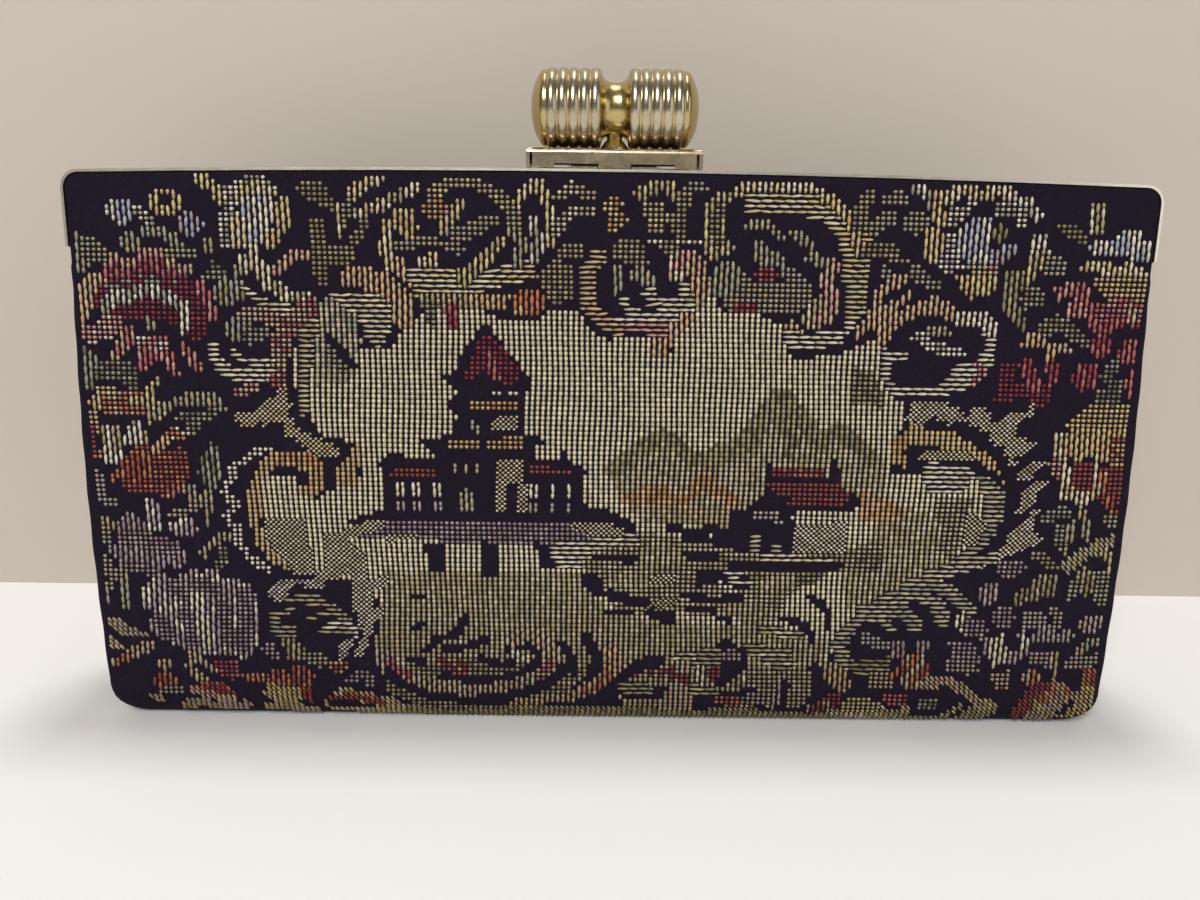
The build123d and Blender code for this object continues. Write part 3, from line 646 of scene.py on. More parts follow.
    ("mauve lilac dot", area((25, 37), (27.6, 40), (45, 40), (50, 40), (52, 37.6), (46, 36), (44, 35.6),
     (28, 35.8))),
    ("pale cream check", area((24.4, 37.8), (26.6, 39.6), (28.2, 40), (28.4, 38.2), (26, 36.6), (24.4, 36.6)),
     area((28, 37.4), (31.8, 37), (31.6, 36), (28.4, 35.6)),
     area((46, 39.6), (50, 39.6), (52.4, 37.6), (48, 37.2))),
    ("ground", area((32.2, 35.4), (33.8, 35), (34, 29.4), (32.4, 29.2)),
     area((37.4, 36), (39.2, 35.2), (39.4, 29.2), (37.7, 29)),
     area((42.8, 36), (44.4, 35.2), (44.8, 30.4), (43.5, 30.6))),
    # the pavilion
    ("ground", area((61.6, 42.6), (63.4, 42.8), (64.8, 45.6), (65, 47), (64.6, 51.6), (65.4, 51.6),
     (65.6, 48.8), (71, 48.8), (71, 52), (71.8, 52), (72, 47.4), (74.6, 44.4), (73.6, 42.4), (68, 42.4),
     (68, 34), (62.8, 34))),
    ("rust crimson dot", area((65, 47.3), (72, 47.3), (73.4, 44.6), (72.4, 43.4), (67, 43.3), (67.6, 44.6),
     (65.8, 45.4))),
    ("crimson rose dot", area((65.6, 50.6), (70.8, 50.8), (70.8, 48.8), (65.6, 48.8))),
    ("lilac pale dot", area((63.8, 42.2), (66.6, 42.2), (66.8, 40), (65.4, 40.4), (63.8, 40.4))),
    ("pale sage row", area((63.7, 37.6), (65, 37.6), (65, 34.4), (63.7, 34.4)),
     area((66, 36), (67.2, 36.4), (67.2, 34.2), (66, 34.2))),
    ("white pale check", area((67.8, 40), (72, 40.2), (73.2, 41.2), (73, 34.6), (67.8, 34.6))),
    ("white dot", line(0.25, (68, 41.2), (71.6, 41.2))),
    # scroll at the left of the view
    ("gold tan cord", area((17, 51), (18, 52.4), (22, 52.2), (23, 49), (22.8, 46), (21.6, 43.6), (20.4, 44),
     (20.4, 45.8), (21.4, 46.4), (21.2, 48.4), (20, 49.2), (18, 49.4), (17.4, 48), (16.6, 46), (16.4, 42),
     (16.2, 38), (17, 34), (18.6, 31), (19.4, 29), (17, 31.4), (15.6, 35), (15.1, 39), (15.1, 44),
     (15.6, 46.6), (16.4, 49)),
     area((24, 45.8), (24, 49.4), (25, 50.6), (25.2, 52.6), (26.2, 54), (26.7, 52), (26, 49), (25.6, 46.4))),
    ("ochre gold cord", line(0.5, (18.4, 50.8), (21.4, 50.8), (22.2, 48))),
    ("white dot", line(0.32, (17.6, 52.6), (16.4, 52.2), (15.4, 50.4), (14.2, 49.4), (13.8, 47.2),
     (13.2, 45.6), (13.2, 43.6), (14.2, 42.4), (13.2, 40.8), (13.2, 39), (14, 37.8), (13.8, 36), (14.4, 34.4),
     (15, 32.4), (16, 31), (16.8, 30.2))),
    ("cream yellow check", area((18, 66), (19.6, 66), (19.4, 63.6), (20, 61), (19.8, 58.6), (20.8, 55.8),
     (22.4, 54.6), (24, 53.2), (24.2, 51.4), (22.4, 51), (21.4, 52.4), (20.2, 54.4), (19.2, 55.2), (19, 57),
     (18, 57.6), (17, 56), (16.4, 54.8), (17.2, 57.4), (15.6, 56.4), (14.4, 58), (14.8, 59.4), (16.4, 59.4),
     (17.4, 61.4), (18.6, 62.6), (18.2, 64))),
    ("tan rose dot", area((14.2, 62.8), (15.4, 64.2), (16, 65), (17.4, 65), (16.8, 63), (15.4, 61.8))),
    # scroll at the right of the view
    ("gold yellow cord", area((78, 56.4), (78.4, 59), (80, 57.8), (82.6, 57.2), (84.6, 55.2), (86.2, 53.2),
     (87.6, 50), (87.9, 48), (86.6, 50.4), (85, 52.4), (83, 54), (80.6, 54.6), (78.8, 54.6))),
    ("gold ochre cord", area((76.7, 56.4), (78.2, 57.4), (78, 53), (78.4, 50.2), (76.8, 51.4))),
    ("cream yellow check", area((79.4, 52.4), (80, 54.4), (82, 53.6), (84, 53.8), (85.6, 52), (84, 51.8),
     (82, 52.2))),
    ("white pale row", area((79.6, 50), (80.4, 51.8), (83.6, 51.6), (85, 50), (84, 46.2), (80.4, 46.2))),
    ("pale sage row", area((84.6, 49.8), (86.4, 49.4), (88, 46.8), (88, 41), (87, 36.6), (85, 33), (84, 31),
     (82.2, 31), (84.4, 35), (86, 38), (86.2, 44), (85.4, 48))),
    ("straw pale dot", area((81.4, 45), (85.2, 45), (84.4, 42), (84.6, 36), (83.4, 33), (82, 35), (82.6, 39),
     (81.2, 41))),
    ("cream pale check", area((84.4, 42), (85.4, 42.6), (86.4, 40), (86.2, 37.4), (85.4, 35.6), (84.4, 37))),
    ("white tan check", area((86, 31.2), (87.6, 33), (88.4, 33.8), (90, 35.4), (91.4, 36.4), (92.4, 37.6),
     (91.2, 38.8), (91.4, 42), (92, 43.4), (90.8, 42.8), (90, 40.4), (88.8, 38.4), (88.4, 36.4), (87, 34.2)),
     area((88.6, 42.4), (89.6, 44), (89.6, 46.6), (90.8, 48.8), (92.8, 49), (91.4, 46.6), (90.8, 44),
     (90, 42.8)), area((89, 48.4), (89.4, 50.4), (90.8, 52.6), (92.2, 52.4), (91, 50.6), (90.2, 48.2))),
    ("white yellow check", area((83.4, 60), (84.6, 62.4), (85.4, 62), (86.6, 58.8), (87.4, 60.8),
     (89.4, 61.2), (89.6, 63.4), (90.2, 63), (90.1, 60.2), (88.4, 59.4), (88.4, 57), (89.6, 56), (90.6, 56.2),
     (90.2, 54.4), (88.8, 52.8), (89, 51.4), (88, 51.6), (87.6, 54), (86.2, 56), (85.8, 57.6), (84.6, 58.2))),
    ("white pale check", area((78, 59.2), (78.2, 62.6), (80, 63.2), (81.6, 62.8), (83.4, 61), (84.2, 59.4),
     (82, 58.6), (80.6, 59.8), (79.4, 58.6))),
    # ring and leaf tail at the right of the view
    ("ground", area((76.2, 69.6), (77.8, 72), (79, 77), (82, 79), (84.6, 77), (84.8, 70), (82.4, 67.4),
     (80.4, 65.2), (77.4, 65.2))),
    ("cream white row", area((82.2, 70), (82, 67.4), (80.4, 65.4), (76.2, 65.2), (76.4, 63.4), (80, 63.4),
     (82.6, 64.4), (84.6, 66.2), (86.1, 69.4), (86.1, 73), (85.6, 75.8), (84.6, 76), (85, 72.4), (84.4, 70))),
    ("rose pink dot", line(0.3, (84.6, 69.6), (85, 68.2), (84.2, 66.6))),
    ("white cream dash", line(0.5, (82.2, 77.3), (83.4, 77.5), (84.6, 77.2), (85.4, 75.8))),
    ("white pale row", area((75.4, 72.2), (78, 71.8), (77.6, 70.2), (76.2, 69.4), (76.4, 67), (77.2, 65.2),
     (75.6, 65), (75.2, 68))),
    ("sage straw dash", area((79.2, 76.2), (80.2, 76.4), (82, 75.4), (82, 74.2), (80, 74))),
    ("white sage dot", area((77.6, 74.6), (79.4, 75.4), (80, 73.6), (82.6, 72.4), (84, 70.4), (81, 70.4),
     (79, 72.4))),
    ("straw olive dot", area((72.4, 69), (74.6, 68), (75.4, 64.6), (76, 61.4), (72.4, 62))),
    ("tan peach dash", area((74, 80), (74.8, 82), (75.3, 82), (75.5, 79.8), (76, 80.4), (77.6, 82.4),
     (78.1, 81.8), (77, 79.4), (76.4, 78), (77, 76.4), (75.8, 72.8), (74.6, 72.6), (74.6, 75), (73.8, 76.4)),
     line((0.4, 0.5), (74.8, 81.4), (75.6, 83), (76.6, 84)),
     line((0.5, 0.6), (76.4, 77.2), (78.4, 79), (80, 79.8), (81.3, 78.6))),
    ("tan gold dash", line(0.4, (73, 74.8), (73.6, 76))),
    # arch of scrollwork over the right of the view
    ("yellow straw dash", area((58, 90), (58.2, 95), (58.8, 97.4), (60, 98.4), (61.4, 99), (61.8, 97.6),
     (60.6, 97), (60.4, 94.4), (60, 91), (61.4, 89.2), (60.6, 88), (59.6, 87), (58.6, 87.4))),
    ("olive straw dot", line(0.45, (59.6, 90), (59.4, 93), (59.8, 96))),
    ("yellow cream row", area((61.6, 95), (62, 98), (64.4, 99.2), (68, 98.8), (70.2, 97.8), (72, 95),
     (73.4, 92), (73.8, 88), (71, 87.8), (70.4, 91), (69, 93.6), (67, 94.8), (64, 95.2))),
    ("cream yellow dash", area((60.6, 98), (61.6, 100), (64, 100.6), (66.4, 100.4), (68.6, 99.4),
     (70.4, 97.8), (67, 98.4), (64, 98.8), (62, 98.4))),
    ("yellow gold dash", line(0.4, (69.2, 97.4), (70.6, 95.6), (71.8, 92.6), (72.7, 88.4))),
    ("yellow pale row", area((71, 88), (73.9, 88), (73.9, 82), (73.4, 77.4), (71.8, 77), (71.8, 80),
     (71.2, 84))),
    ("sage straw dash", area((61.8, 92.2), (62.4, 93.6), (64, 94.2), (65, 92.8), (65.8, 90.6), (65, 90.8),
     (64, 92), (62.6, 91.8)),
     area((65.8, 91.6), (67, 92), (68.4, 90.6), (68.6, 88.6), (67.8, 89.2), (66.6, 90.6)),
     line(0.4, (68.2, 87.6), (69.4, 87)), line(0.35, (63.5, 90), (63.3, 87.2)),
     line(0.35, (64.2, 88.8), (64, 86.4)), line(0.35, (65, 88), (65, 86.4)),
     line(0.35, (65.7, 86.6), (65.8, 84.6))),
    ("sage lilac dot", line((0.5, 0.4), (66.6, 84.4), (67.4, 83.4))),
    ("straw sage dot", area((59.2, 83.6), (59.8, 85), (62, 85.6), (63, 83.4), (65.6, 83), (68.6, 83.8),
     (68.8, 80), (67, 77.6), (64.6, 78), (63.4, 77.6), (61, 77.6), (60, 80.4))),
    ("straw sage dash", line((0.9, 0.6), (60.6, 85), (60.6, 82), (59.2, 83))),
    ("crimson rose dot", oval(64, 84.6, 1.2, 1.2), oval(62.3, 78.9, 1.2, 1.2)),
    ("cream straw dash", area((67.6, 76.4), (68, 79.6), (69.4, 82), (69.8, 79), (69.8, 74.6), (69, 74.6))),
    ("tan pink dash", line((0.55, 0.6), (70.2, 86.2), (69.9, 83.4), (70.4, 80.6), (69.8, 77.4))),
    ("peach tan dash", line((0.6, 0.4), (66.8, 75.4), (67.4, 74.4))),
    ("white cream row", line(0.35, (72.1, 76.2), (71.4, 74.8), (69.4, 74.4)),
     line(0.4, (71.2, 73.3), (69, 73.1), (66.6, 74.2)), line(0.3, (69.6, 72), (68, 71.9), (66.4, 73.2))),
    ("ground", line(0.4, (67, 71), (70.6, 71.2))),
    # curl over the middle of the view
    ("straw yellow dash", line(0.5, (52.4, 97.6), (53.4, 98.8), (54.6, 99.4), (55.5, 97.6))),
    ("straw yellow dot", area((52.4, 96.2), (54.4, 96.6), (55, 94.4), (54.6, 91), (53.4, 91), (53, 93))),
    ("straw olive dot", line(0.55, (56.2, 91), (56, 94), (56.6, 97.4))),
    ("straw sage dot", line(0.35, (56.6, 98.4), (57.4, 99.2), (58.2, 99))),
    ("white straw dot", line(0.25, (53.4, 89.8), (58, 89.7))),
    ("straw olive dot", area((50, 86.6), (50.2, 89.6), (51.6, 90.8), (53.2, 89.4), (53.4, 86))),
    ("olive straw dot", line((0.5, 0.4), (55, 89), (55.8, 88.4))),
    ("cream straw dash", area((54.9, 84.6), (54.9, 86.8), (55.8, 88.2), (56.8, 88), (56.6, 83.4),
     (55.6, 83))),
    ("tan pink dash", area((55.8, 88.4), (57.8, 88.2), (59, 86), (59, 82.4), (58, 79.8), (56.4, 80.8),
     (57, 84), (55.8, 85.6))),
    ("tan peach dash", line((1.0, 0.8), (58, 82), (57.2, 79.4), (56, 77), (55, 74.8), (54.4, 72))),
    ("white cream row", line((0.55, 0.5), (53.4, 81), (54.4, 79.6), (57, 79.2))),
    ("cream straw row", line((0.5, 0.4), (56.6, 82), (57.2, 80.6))),
    ("white cream row", line(0.4, (51, 80), (51.8, 77.8), (53.6, 76.9), (55.8, 77))),
    ("pink tan row", line(0.5, (49.6, 75.2), (52, 75.4), (54.6, 74.8))),
    ("white pale row", line(0.25, (50, 76.2), (52, 76.2))),
    ("sage straw dash", line((0.6, 0.5), (52.4, 84.4), (53.6, 83.4)),
     line((0.4, 0.3), (50.5, 85.4), (50.5, 81.6))),
    ("tan peach row", line(0.6, (48.8, 87.4), (47.8, 84.6), (47.6, 80.6), (48.2, 77.8))),
    ("peach tan row", line(0.5, (48.2, 77.8), (49.2, 76), (50.6, 74.8))),
    ("yellow ochre dot", area((48.8, 96.2), (49.8, 98), (51, 96.8), (50.6, 95), (51.4, 93.4), (50.2, 90.8),
     (49.2, 91), (49.4, 94))),
    # garland at the upper left of the view
    ("peach tan dash", line(0.8, (25.8, 83), (27.6, 82.8), (29.4, 81.2), (30.5, 78.6), (30.6, 76))),
    ("tan peach dash", line(0.5, (30.2, 86), (30.8, 84), (31.8, 81.8))),
    ("yellow cream dash", line(0.5, (29.5, 85), (29.2, 88.4), (29.6, 92.2))),
    ("gold yellow dash", area((29.9, 93), (30.2, 94.8), (32, 94.8), (32.4, 91.2), (31.6, 89.4),
     (30.6, 90.6))),
    ("ochre gold dot", oval(33.8, 95, 1.2, 1.7)),
    ("straw yellow dot", line(0.45, (33.4, 97), (34.6, 98.6), (36.6, 99.4), (38.8, 98.2), (40.4, 96))),
    ("straw sage dot", line(0.5, (40.6, 95.8), (41, 93.6), (40.8, 91.4))),
    ("yellow straw dash", line(0.45, (34.5, 91), (35.2, 93.4), (36.2, 95.8))),
    ("straw sage dot", line((0.7, 0.4), (36, 90.6), (37.6, 92), (39.4, 93.4))),
    ("sage straw dot", line(0.35, (30.4, 88.4), (33.4, 89.4), (36, 87.8))),
    ("yellow cream dash", area((31.6, 84.4), (32.2, 86.4), (33.8, 87.8), (34.2, 84.2))),
    ("cream yellow row", line(0.7, (31.8, 83.6), (36.2, 83.8)), line(0.5, (32.2, 81), (37.4, 81))),
    ("yellow cream row", line(0.7, (36.8, 82.6), (39.6, 83.6), (42, 84.8))),
    ("yellow straw dash", line((0.7, 0.35), (36.4, 83.6), (38, 86), (39.8, 89.8))),
    ("straw tan dash", area((31.9, 80.4), (37, 80.2), (37, 78.4), (34, 77.8), (32.2, 78))),
    ("gold tan dash", area((36.4, 80.4), (40.2, 80.4), (40.4, 77.8), (37, 78))),
    ("orange peach dash", area((40.4, 80.6), (41.6, 81.4), (43, 81.4), (43.9, 79.6), (43.4, 76.8),
     (41, 76.8))),
    ("crimson rose dash", line((0.6, 0.4), (35, 77.6), (35.2, 75.4))),
    ("sage olive dot", area((32.2, 78.4), (33.8, 78.4), (33.6, 74.6), (32.4, 75))),
    ("yellow cream dash", line(0.5, (26.2, 96.6), (27.4, 98.6), (28.6, 99.6))),
    ("straw cream dash", line(0.45, (27, 94), (28.6, 95), (30.2, 96.6), (32.2, 98.4))),
    ("straw sage dot", line((0.5, 0.4), (25.4, 92.8), (26, 95.6))),
    ("straw olive dot", line(0.4, (27.4, 92), (26.4, 89.6), (25.6, 86.6))),
    ("yellow cream dash", area((40.9, 96), (41.4, 98.4), (42.4, 100), (43.6, 100.3), (44.3, 98), (44.8, 94),
     (44.6, 88.4), (44, 88.4), (43.8, 95), (43.2, 97.2), (42, 97), (41.6, 95))),
    ("sage white dash", area((42.2, 94.2), (43.3, 94), (43.7, 90), (43.5, 86.2), (42.2, 86.4), (42.6, 90))),
    ("straw sage dash", line(0.45, (40.9, 91), (41.7, 89.6), (41.2, 86.4))),
    ("straw cream dot", line(0.4, (45, 97.2), (46.2, 98.8), (47.8, 97.4)),
     line(0.45, (44.9, 91.4), (45.6, 93.6), (46.6, 95), (47.8, 94.6))),
    ("straw olive dot", area((44.8, 87.2), (45.4, 89.6), (47.4, 89.6), (47.2, 87)),
     area((42.8, 83.8), (44.4, 86.6), (46.4, 86), (46.4, 80), (44.6, 78.4), (44, 80))),
    # crimson flower, upper left
    ("peach tan dash", line((0.7, 0.8), (0.4, 75.2), (1.1, 77.8), (1.6, 80.4), (2.8, 81.8))),
    ("crimson wine dot", area((1.8, 78), (2.6, 80.8), (4, 82.4), (11, 83), (12.4, 80.4), (13, 76.8),
     (12.4, 73.2), (11.4, 71.6), (10.6, 72.4), (9.8, 74.2), (8, 75.4), (5, 75), (3.4, 76.6))),
    ("rose crimson dash", area((3.3, 82.4), (3.4, 84.6), (4.4, 85.8), (5.8, 84.8), (6.4, 86.4), (8.6, 86.8),
     (9, 85.2), (10.7, 84.8), (11.2, 82.4), (9, 82.4), (6, 82))),
    ("pink tan dash", line(0.35, (3.5, 84.6), (4.4, 85.8), (5.8, 84.8), (6.8, 86.6), (8.6, 86.8), (9.4, 85),
     (10.8, 84.2))),
    ("rose pink dash", line(0.4, (11.8, 81.6), (12.5, 79), (12.9, 76))),
    ("crimson sage dot", line(0.6, (4, 80.8), (7, 81.6), (10, 80.8))),
    ("white sage dash", line(0.5, (3.3, 77.4), (4.2, 79.2), (5.4, 79.2), (6.6, 80.6), (8, 80), (9.4, 78.6))),
    ("white cream dash", line(0.4, (10.2, 78.2), (10.5, 76), (10.3, 73.8))),
    ("sage straw dash", oval(7.2, 74.8, 0.5, 1.2)),
    ("pink white dot", line((0.6, 0.9), (1.4, 72.4), (2.6, 73.4), (3.8, 74.4))),
    ("tan rose dash", line((0.6, 0.45), (5.2, 73), (4.6, 71), (3.6, 69))),
    ("rose pink dash", area((5.9, 70), (6.2, 72), (8.8, 72.4), (9.2, 69), (9.8, 65), (8.8, 65.6), (8.2, 68.6),
     (7.4, 68.4), (6.8, 66), (5.6, 67.2))),
    ("white pink dot", line(0.35, (6, 71.6), (8.6, 71))),
    ("pink rose dash", area((9.9, 71.6), (10.8, 71.2), (12, 66.4), (11, 66.2), (10.1, 69))),
    # small flowers along the top left
    ("blue white dash", oval(5.2, 93.6, 1.4, 2.2)),
    ("white sage dot", line((0.45, 0.4), (6.8, 93.8), (7.8, 92.4))),
    ("yellow gold dash", oval(9.4, 95.4, 1.5, 2.3)),
    ("ground", oval(9.5, 95.8, 0.55, 0.9)),
    ("yellow cream dash", line(0.5, (12.4, 99.2), (13.4, 98.4), (14.4, 96.2))),
    ("blue lilac dash", oval(11.5, 91.7, 1.2, 2.0)),
    ("sage straw dash", oval(5.9, 88.6, 1.1, 1.6),
     line((0.4, 0.5), (7.3, 90.2), (8.6, 90.4), (9.7, 89.2), (10.4, 87.2))),
    ("sage straw dot", line(0.35, (9, 86.8), (11.4, 87))),
    ("straw sage dash", oval(13, 88.1, 0.5, 1.4)),
    ("sage straw dash", line((0.7, 0.6), (0.8, 88.6), (1, 86.4), (1.2, 84.6))),
    ("sage straw dot", line((0.8, 0.6), (2, 87.4), (3, 86.4))),
    ("white sage dot", line(0.45, (15.2, 97.4), (16.6, 98.7), (18, 99.1), (18.8, 98)),
     line((0.55, 0.5), (14.7, 88.8), (14.7, 92), (15.2, 95))),
    ("yellow cream dash", line(0.5, (16.2, 96.8), (17.4, 97.8), (18.8, 96.8))),
    ("white blue dash", area((16, 96.4), (18.8, 97), (19.2, 93.4), (18, 88.4), (16.4, 88.4), (16, 92))),
    ("cream yellow dash", line(0.5, (15.7, 92.4), (15.7, 88.6))),
    ("yellow gold dash", area((19, 95.6), (20.4, 97), (20.5, 91.4), (19.6, 90), (19.2, 88), (18.2, 87.6),
     (18.2, 90), (19.2, 92))),
    ("cream yellow dash", line((0.45, 0.4), (17.2, 88), (17, 86), (16.2, 84.6))),
    ("sage cream dash", line((0.45, 0.4), (16, 85.6), (15.4, 83.6))),
    # leaves of the upper left
    ("olive straw dot", area((21.3, 98.2), (22.4, 99.6), (23.4, 99.6), (24.7, 96.6), (24.9, 94.2),
     (23.6, 94.8), (22.2, 96.2)),
     area((22.5, 93), (23.5, 93), (23.7, 88.4), (26.4, 88), (26, 85.2), (24, 85), (23.8, 81.8), (22.7, 81.8),
     (22.1, 85), (22.1, 89))),
    ("tan pink dash", line((0.4, 0.45), (19.2, 84), (19.8, 85.4), (20.8, 86.6), (21.7, 86.8))),
    ("cream straw dash", line(0.3, (25, 95.2), (25, 90.2)),
     line((0.55, 0.45), (17.9, 84.2), (18.2, 82), (19.6, 80.4), (21, 79.4), (22.4, 79))),
    ("sage moss dot", area((12, 82.6), (13.2, 85.6), (14.4, 84), (13.6, 81.8))),
    ("sage olive dash", area((13, 80.6), (14, 83.2), (16, 82), (16.2, 79), (13.4, 77.8))),
    ("cream pale row", line(0.3, (16, 81), (17.4, 79), (20, 78)), line(0.3, (17.2, 77.2), (19.8, 77.1))),
    ("sage olive dash", area((13.7, 73.4), (14.4, 75.6), (16, 76.6), (16.9, 73.4), (14.6, 71.6))),
    ("sage moss dot", line((0.6, 0.5), (16.2, 72.6), (17.6, 73.4))),
    ("tan pink dot", line((0.5, 0.6), (15.8, 76.8), (17.4, 76.4), (18.8, 75.4))),
    ("tan rose dot", line((0.7, 0.8), (22, 77.8), (20.4, 75.8), (19.3, 72.8), (18.9, 69), (18.7, 65.6))),
    ("cream white row", line(0.45, (13, 70.4), (13.2, 68.4), (14.2, 66.6), (15.6, 65.7), (17.2, 65.5))),
    ("white cream row", line(0.3, (14.8, 69.8), (15.8, 68.5), (18.2, 68.4)),
     line(0.3, (15.8, 66.9), (18, 66.6))),
    ("sage moss dash", area((0.1, 70.4), (1.2, 70.8), (2.2, 68.4), (2, 65), (1.6, 62.4), (0.5, 62.8),
     (0.4, 66))),
    ("moss sage dot", line((0.8, 0.5), (2.8, 66.2), (4.6, 66.6), (5, 64))),
    ("sage straw dash", area((7.9, 59), (8.6, 61.4), (10, 62.4), (13.2, 62.4), (13.8, 59.4), (11.4, 60.6),
     (10, 60.4))),
    ("sage moss dot", area((10, 59.6), (13, 59.8), (13, 58.2), (11.2, 57), (11.6, 55.4), (10, 55.2),
     (10, 57.4), (8.6, 57.4), (9.4, 58.6))),
    ("sage moss dash", area((10.9, 50), (11.4, 52), (12.3, 53.8), (13.1, 52), (13.1, 48.4), (12.6, 46),
     (12, 45), (11, 46), (10.6, 48))),
    ("straw sage dash", line((0.5, 0.45), (9.5, 45.2), (10.3, 43.2), (11.4, 42.6), (11.6, 44.4))),
    ("straw sage dot", line(0.35, (8, 40.2), (9.4, 41.2), (10.4, 42))),
    ("straw sage dash", line(0.3, (11.4, 42), (11, 39))),
    # orange flower at the left
    ("tan peach dash", area((0.6, 60), (1, 61.8), (2.1, 62.6), (2.2, 58.6))),
    ("orange tan dot", area((2, 62.6), (6.2, 62.6), (6.2, 58.2), (2, 58.2))),
    ("yellow tan dash", area((4.7, 62.2), (6.2, 62.2), (6.2, 59.8), (4.7, 59.8))),
    ("yellow gold dot", line(0.4, (2.4, 63.2), (3.4, 63))),
    ("tan peach dot", area((0.1, 59.6), (1.7, 59.4), (1.5, 56), (1.1, 53), (1.6, 50.4), (0.1, 50))),
    ("rust orange dot", line(0.45, (0.6, 55.4), (0.8, 51.6))),
    ("yellow straw dash", area((6.3, 64), (7.2, 64.6), (7.9, 66), (7.3, 62), (6.9, 58.4), (6.7, 55.4),
     (6.2, 58))),
    ("sage yellow dash", line((0.45, 0.4), (7.8, 60.4), (7.4, 58))),
    ("white straw dash", area((1.8, 49.4), (1.8, 56.6), (3.6, 57), (4, 54.8), (4.2, 57), (5.6, 57.2),
     (6.3, 55.4), (6, 53.4), (4, 53), (3.6, 51), (2.6, 49.2))),
    ("rust orange dot", area((3.2, 45), (3.4, 50), (4.4, 52.4), (6, 53), (8.4, 52), (9.4, 53), (9.9, 51.2),
     (9.8, 47.4), (9, 45.6), (7.6, 43.6), (6.4, 43.8), (4, 44.2))),
    ("orange rust dash", area((1.9, 45.2), (2.4, 47.6), (3.2, 49.8), (4.4, 51), (5.4, 52), (6.1, 51),
     (6.1, 47), (4.4, 46), (3.4, 47))),
    ("peach tan dash", line(0.4, (6.8, 52.4), (7.6, 54), (8.4, 55.4))),
    ("orange white dot", line((0.45, 0.4), (8.6, 55.4), (9.7, 55))),
    ("rose tan dash", line(0.35, (7.8, 44.4), (8.6, 45.2))),
    ("sage lilac dot", line((0.7, 0.6), (0.6, 46.6), (0.9, 44.6)), line(0.4, (1, 43), (2.4, 42.6))),
    # lilac flowers at the lower left
    ("mauve lilac dash", area((1.8, 37), (2.6, 39.8), (4, 40.6), (5.2, 38.6), (5.6, 36.6), (3, 36.2))),
    ("white lilac dash", area((5, 42.4), (6, 43.4), (6.7, 42), (6.8, 37), (5.4, 37.4), (5.2, 40)),
     area((7.2, 38), (8.4, 39.6), (9.8, 39.4), (10.4, 37.4), (9.6, 36.2), (8.2, 36), (7.4, 37))),
    ("lilac mauve dash", area((1.2, 33), (2.4, 35.8), (6, 36.2), (8.4, 34.8), (8.9, 32), (8.2, 29.6), (7, 31),
     (5.8, 29.2), (3, 28.8), (2.2, 31))),
    ("mauve lilac dot", line(0.6, (3, 35.6), (6, 35), (7.6, 33.4)), line(0.4, (3, 30), (5.4, 29.4))),
    ("straw lilac dash", line(0.6, (0.4, 39), (1.4, 37.8))),
    ("sage straw dot", line((0.6, 0.5), (0.5, 36.4), (1.2, 35))),
    ("sage straw dash", area((10, 33), (10.8, 35), (12.2, 37.2), (13.3, 37.2), (13.3, 35), (12, 34.8),
     (11, 33.4), (10.4, 31))),
    ("sage moss dot", line((0.5, 0.4), (12.4, 33.6), (12.6, 32), (12, 30.8))),
    ("lilac white dash", area((4, 23), (4.2, 25.6), (5, 27.4), (6, 28.8), (7.6, 28.4), (8.6, 29.4),
     (9.4, 30.2), (10.2, 29.4), (11.6, 30.6), (12.2, 28.4), (13.8, 28.2), (15.2, 26.6), (15.4, 23),
     (15.6, 20.4), (15.4, 17), (15.2, 13.6), (14, 12), (12.6, 13.6), (11.4, 12.6), (9.8, 12.8), (8.4, 13.4),
     (7.4, 15), (6, 15.6), (5, 17), (4.8, 20), (5.4, 21.6), (4.6, 22.2))),
    ("mauve lilac dot", line(0.7, (14.4, 25), (14.2, 20), (14, 16)),
     line(0.6, (7.4, 26.4), (8.6, 25), (10, 27), (11.4, 25.6)),
     line((0.6, 0.5), (5.8, 20), (6.4, 18), (6.6, 16.6)), line(0.5, (8.4, 21.6), (8.8, 18.4), (9, 15.6)),
     line(0.5, (12, 23), (12.4, 19), (12.6, 15.6))),
    ("cream white dash", line((0.6, 0.5), (9.6, 24), (10, 20), (10.4, 15))),
    ("sage straw dash", line((0.45, 0.35), (2.3, 29.6), (2.6, 26), (2.8, 22.4))),
    ("sage straw dot", line(0.4, (1, 26.4), (2, 28.6)), line(0.6, (0.3, 32), (1, 30))),
    ("straw lilac dash", line(0.5, (0.4, 25.6), (0.4, 24))),
    ("straw lilac twill", area((0.4, 20.4), (2.2, 19.6), (3.4, 18), (4.6, 17), (3, 16.2), (1.6, 17.2),
     (0.8, 18.2))),
    ("tan straw twill", line((0.5, 0.4), (0.6, 15.4), (1.4, 14.6))),
    ("tan straw dash", area((0.5, 10.2), (1.2, 12.4), (3, 14.6), (4.6, 16.2), (5.3, 14.8), (4.2, 13),
     (2.4, 12))),
    ("orange tan dash", line(0.35, (0.8, 10.8), (2.4, 12.6))),
    # buds along the bottom left
    ("yellow straw dash", oval(6.1, 11.2, 0.8, 1.3)),
    ("orange rust dash", oval(6.1, 7.8, 1.2, 2.0)),
    ("lilac sage dot", line(0.35, (5.8, 5.7), (7.4, 5.8))),
    ("straw lilac twill", oval(5.1, 4.5, 0.9, 1.0)),
    ("crimson rose dot", area((10.6, 10.4), (11, 12), (13.2, 12.2), (13.8, 9), (12.6, 7.8), (11.6, 9))),
    ("yellow tan dash", line(0.35, (8.8, 13), (10, 11.4), (10.8, 10)),
     line(0.35, (8.4, 11), (9, 9.2), (9.8, 8.2))),
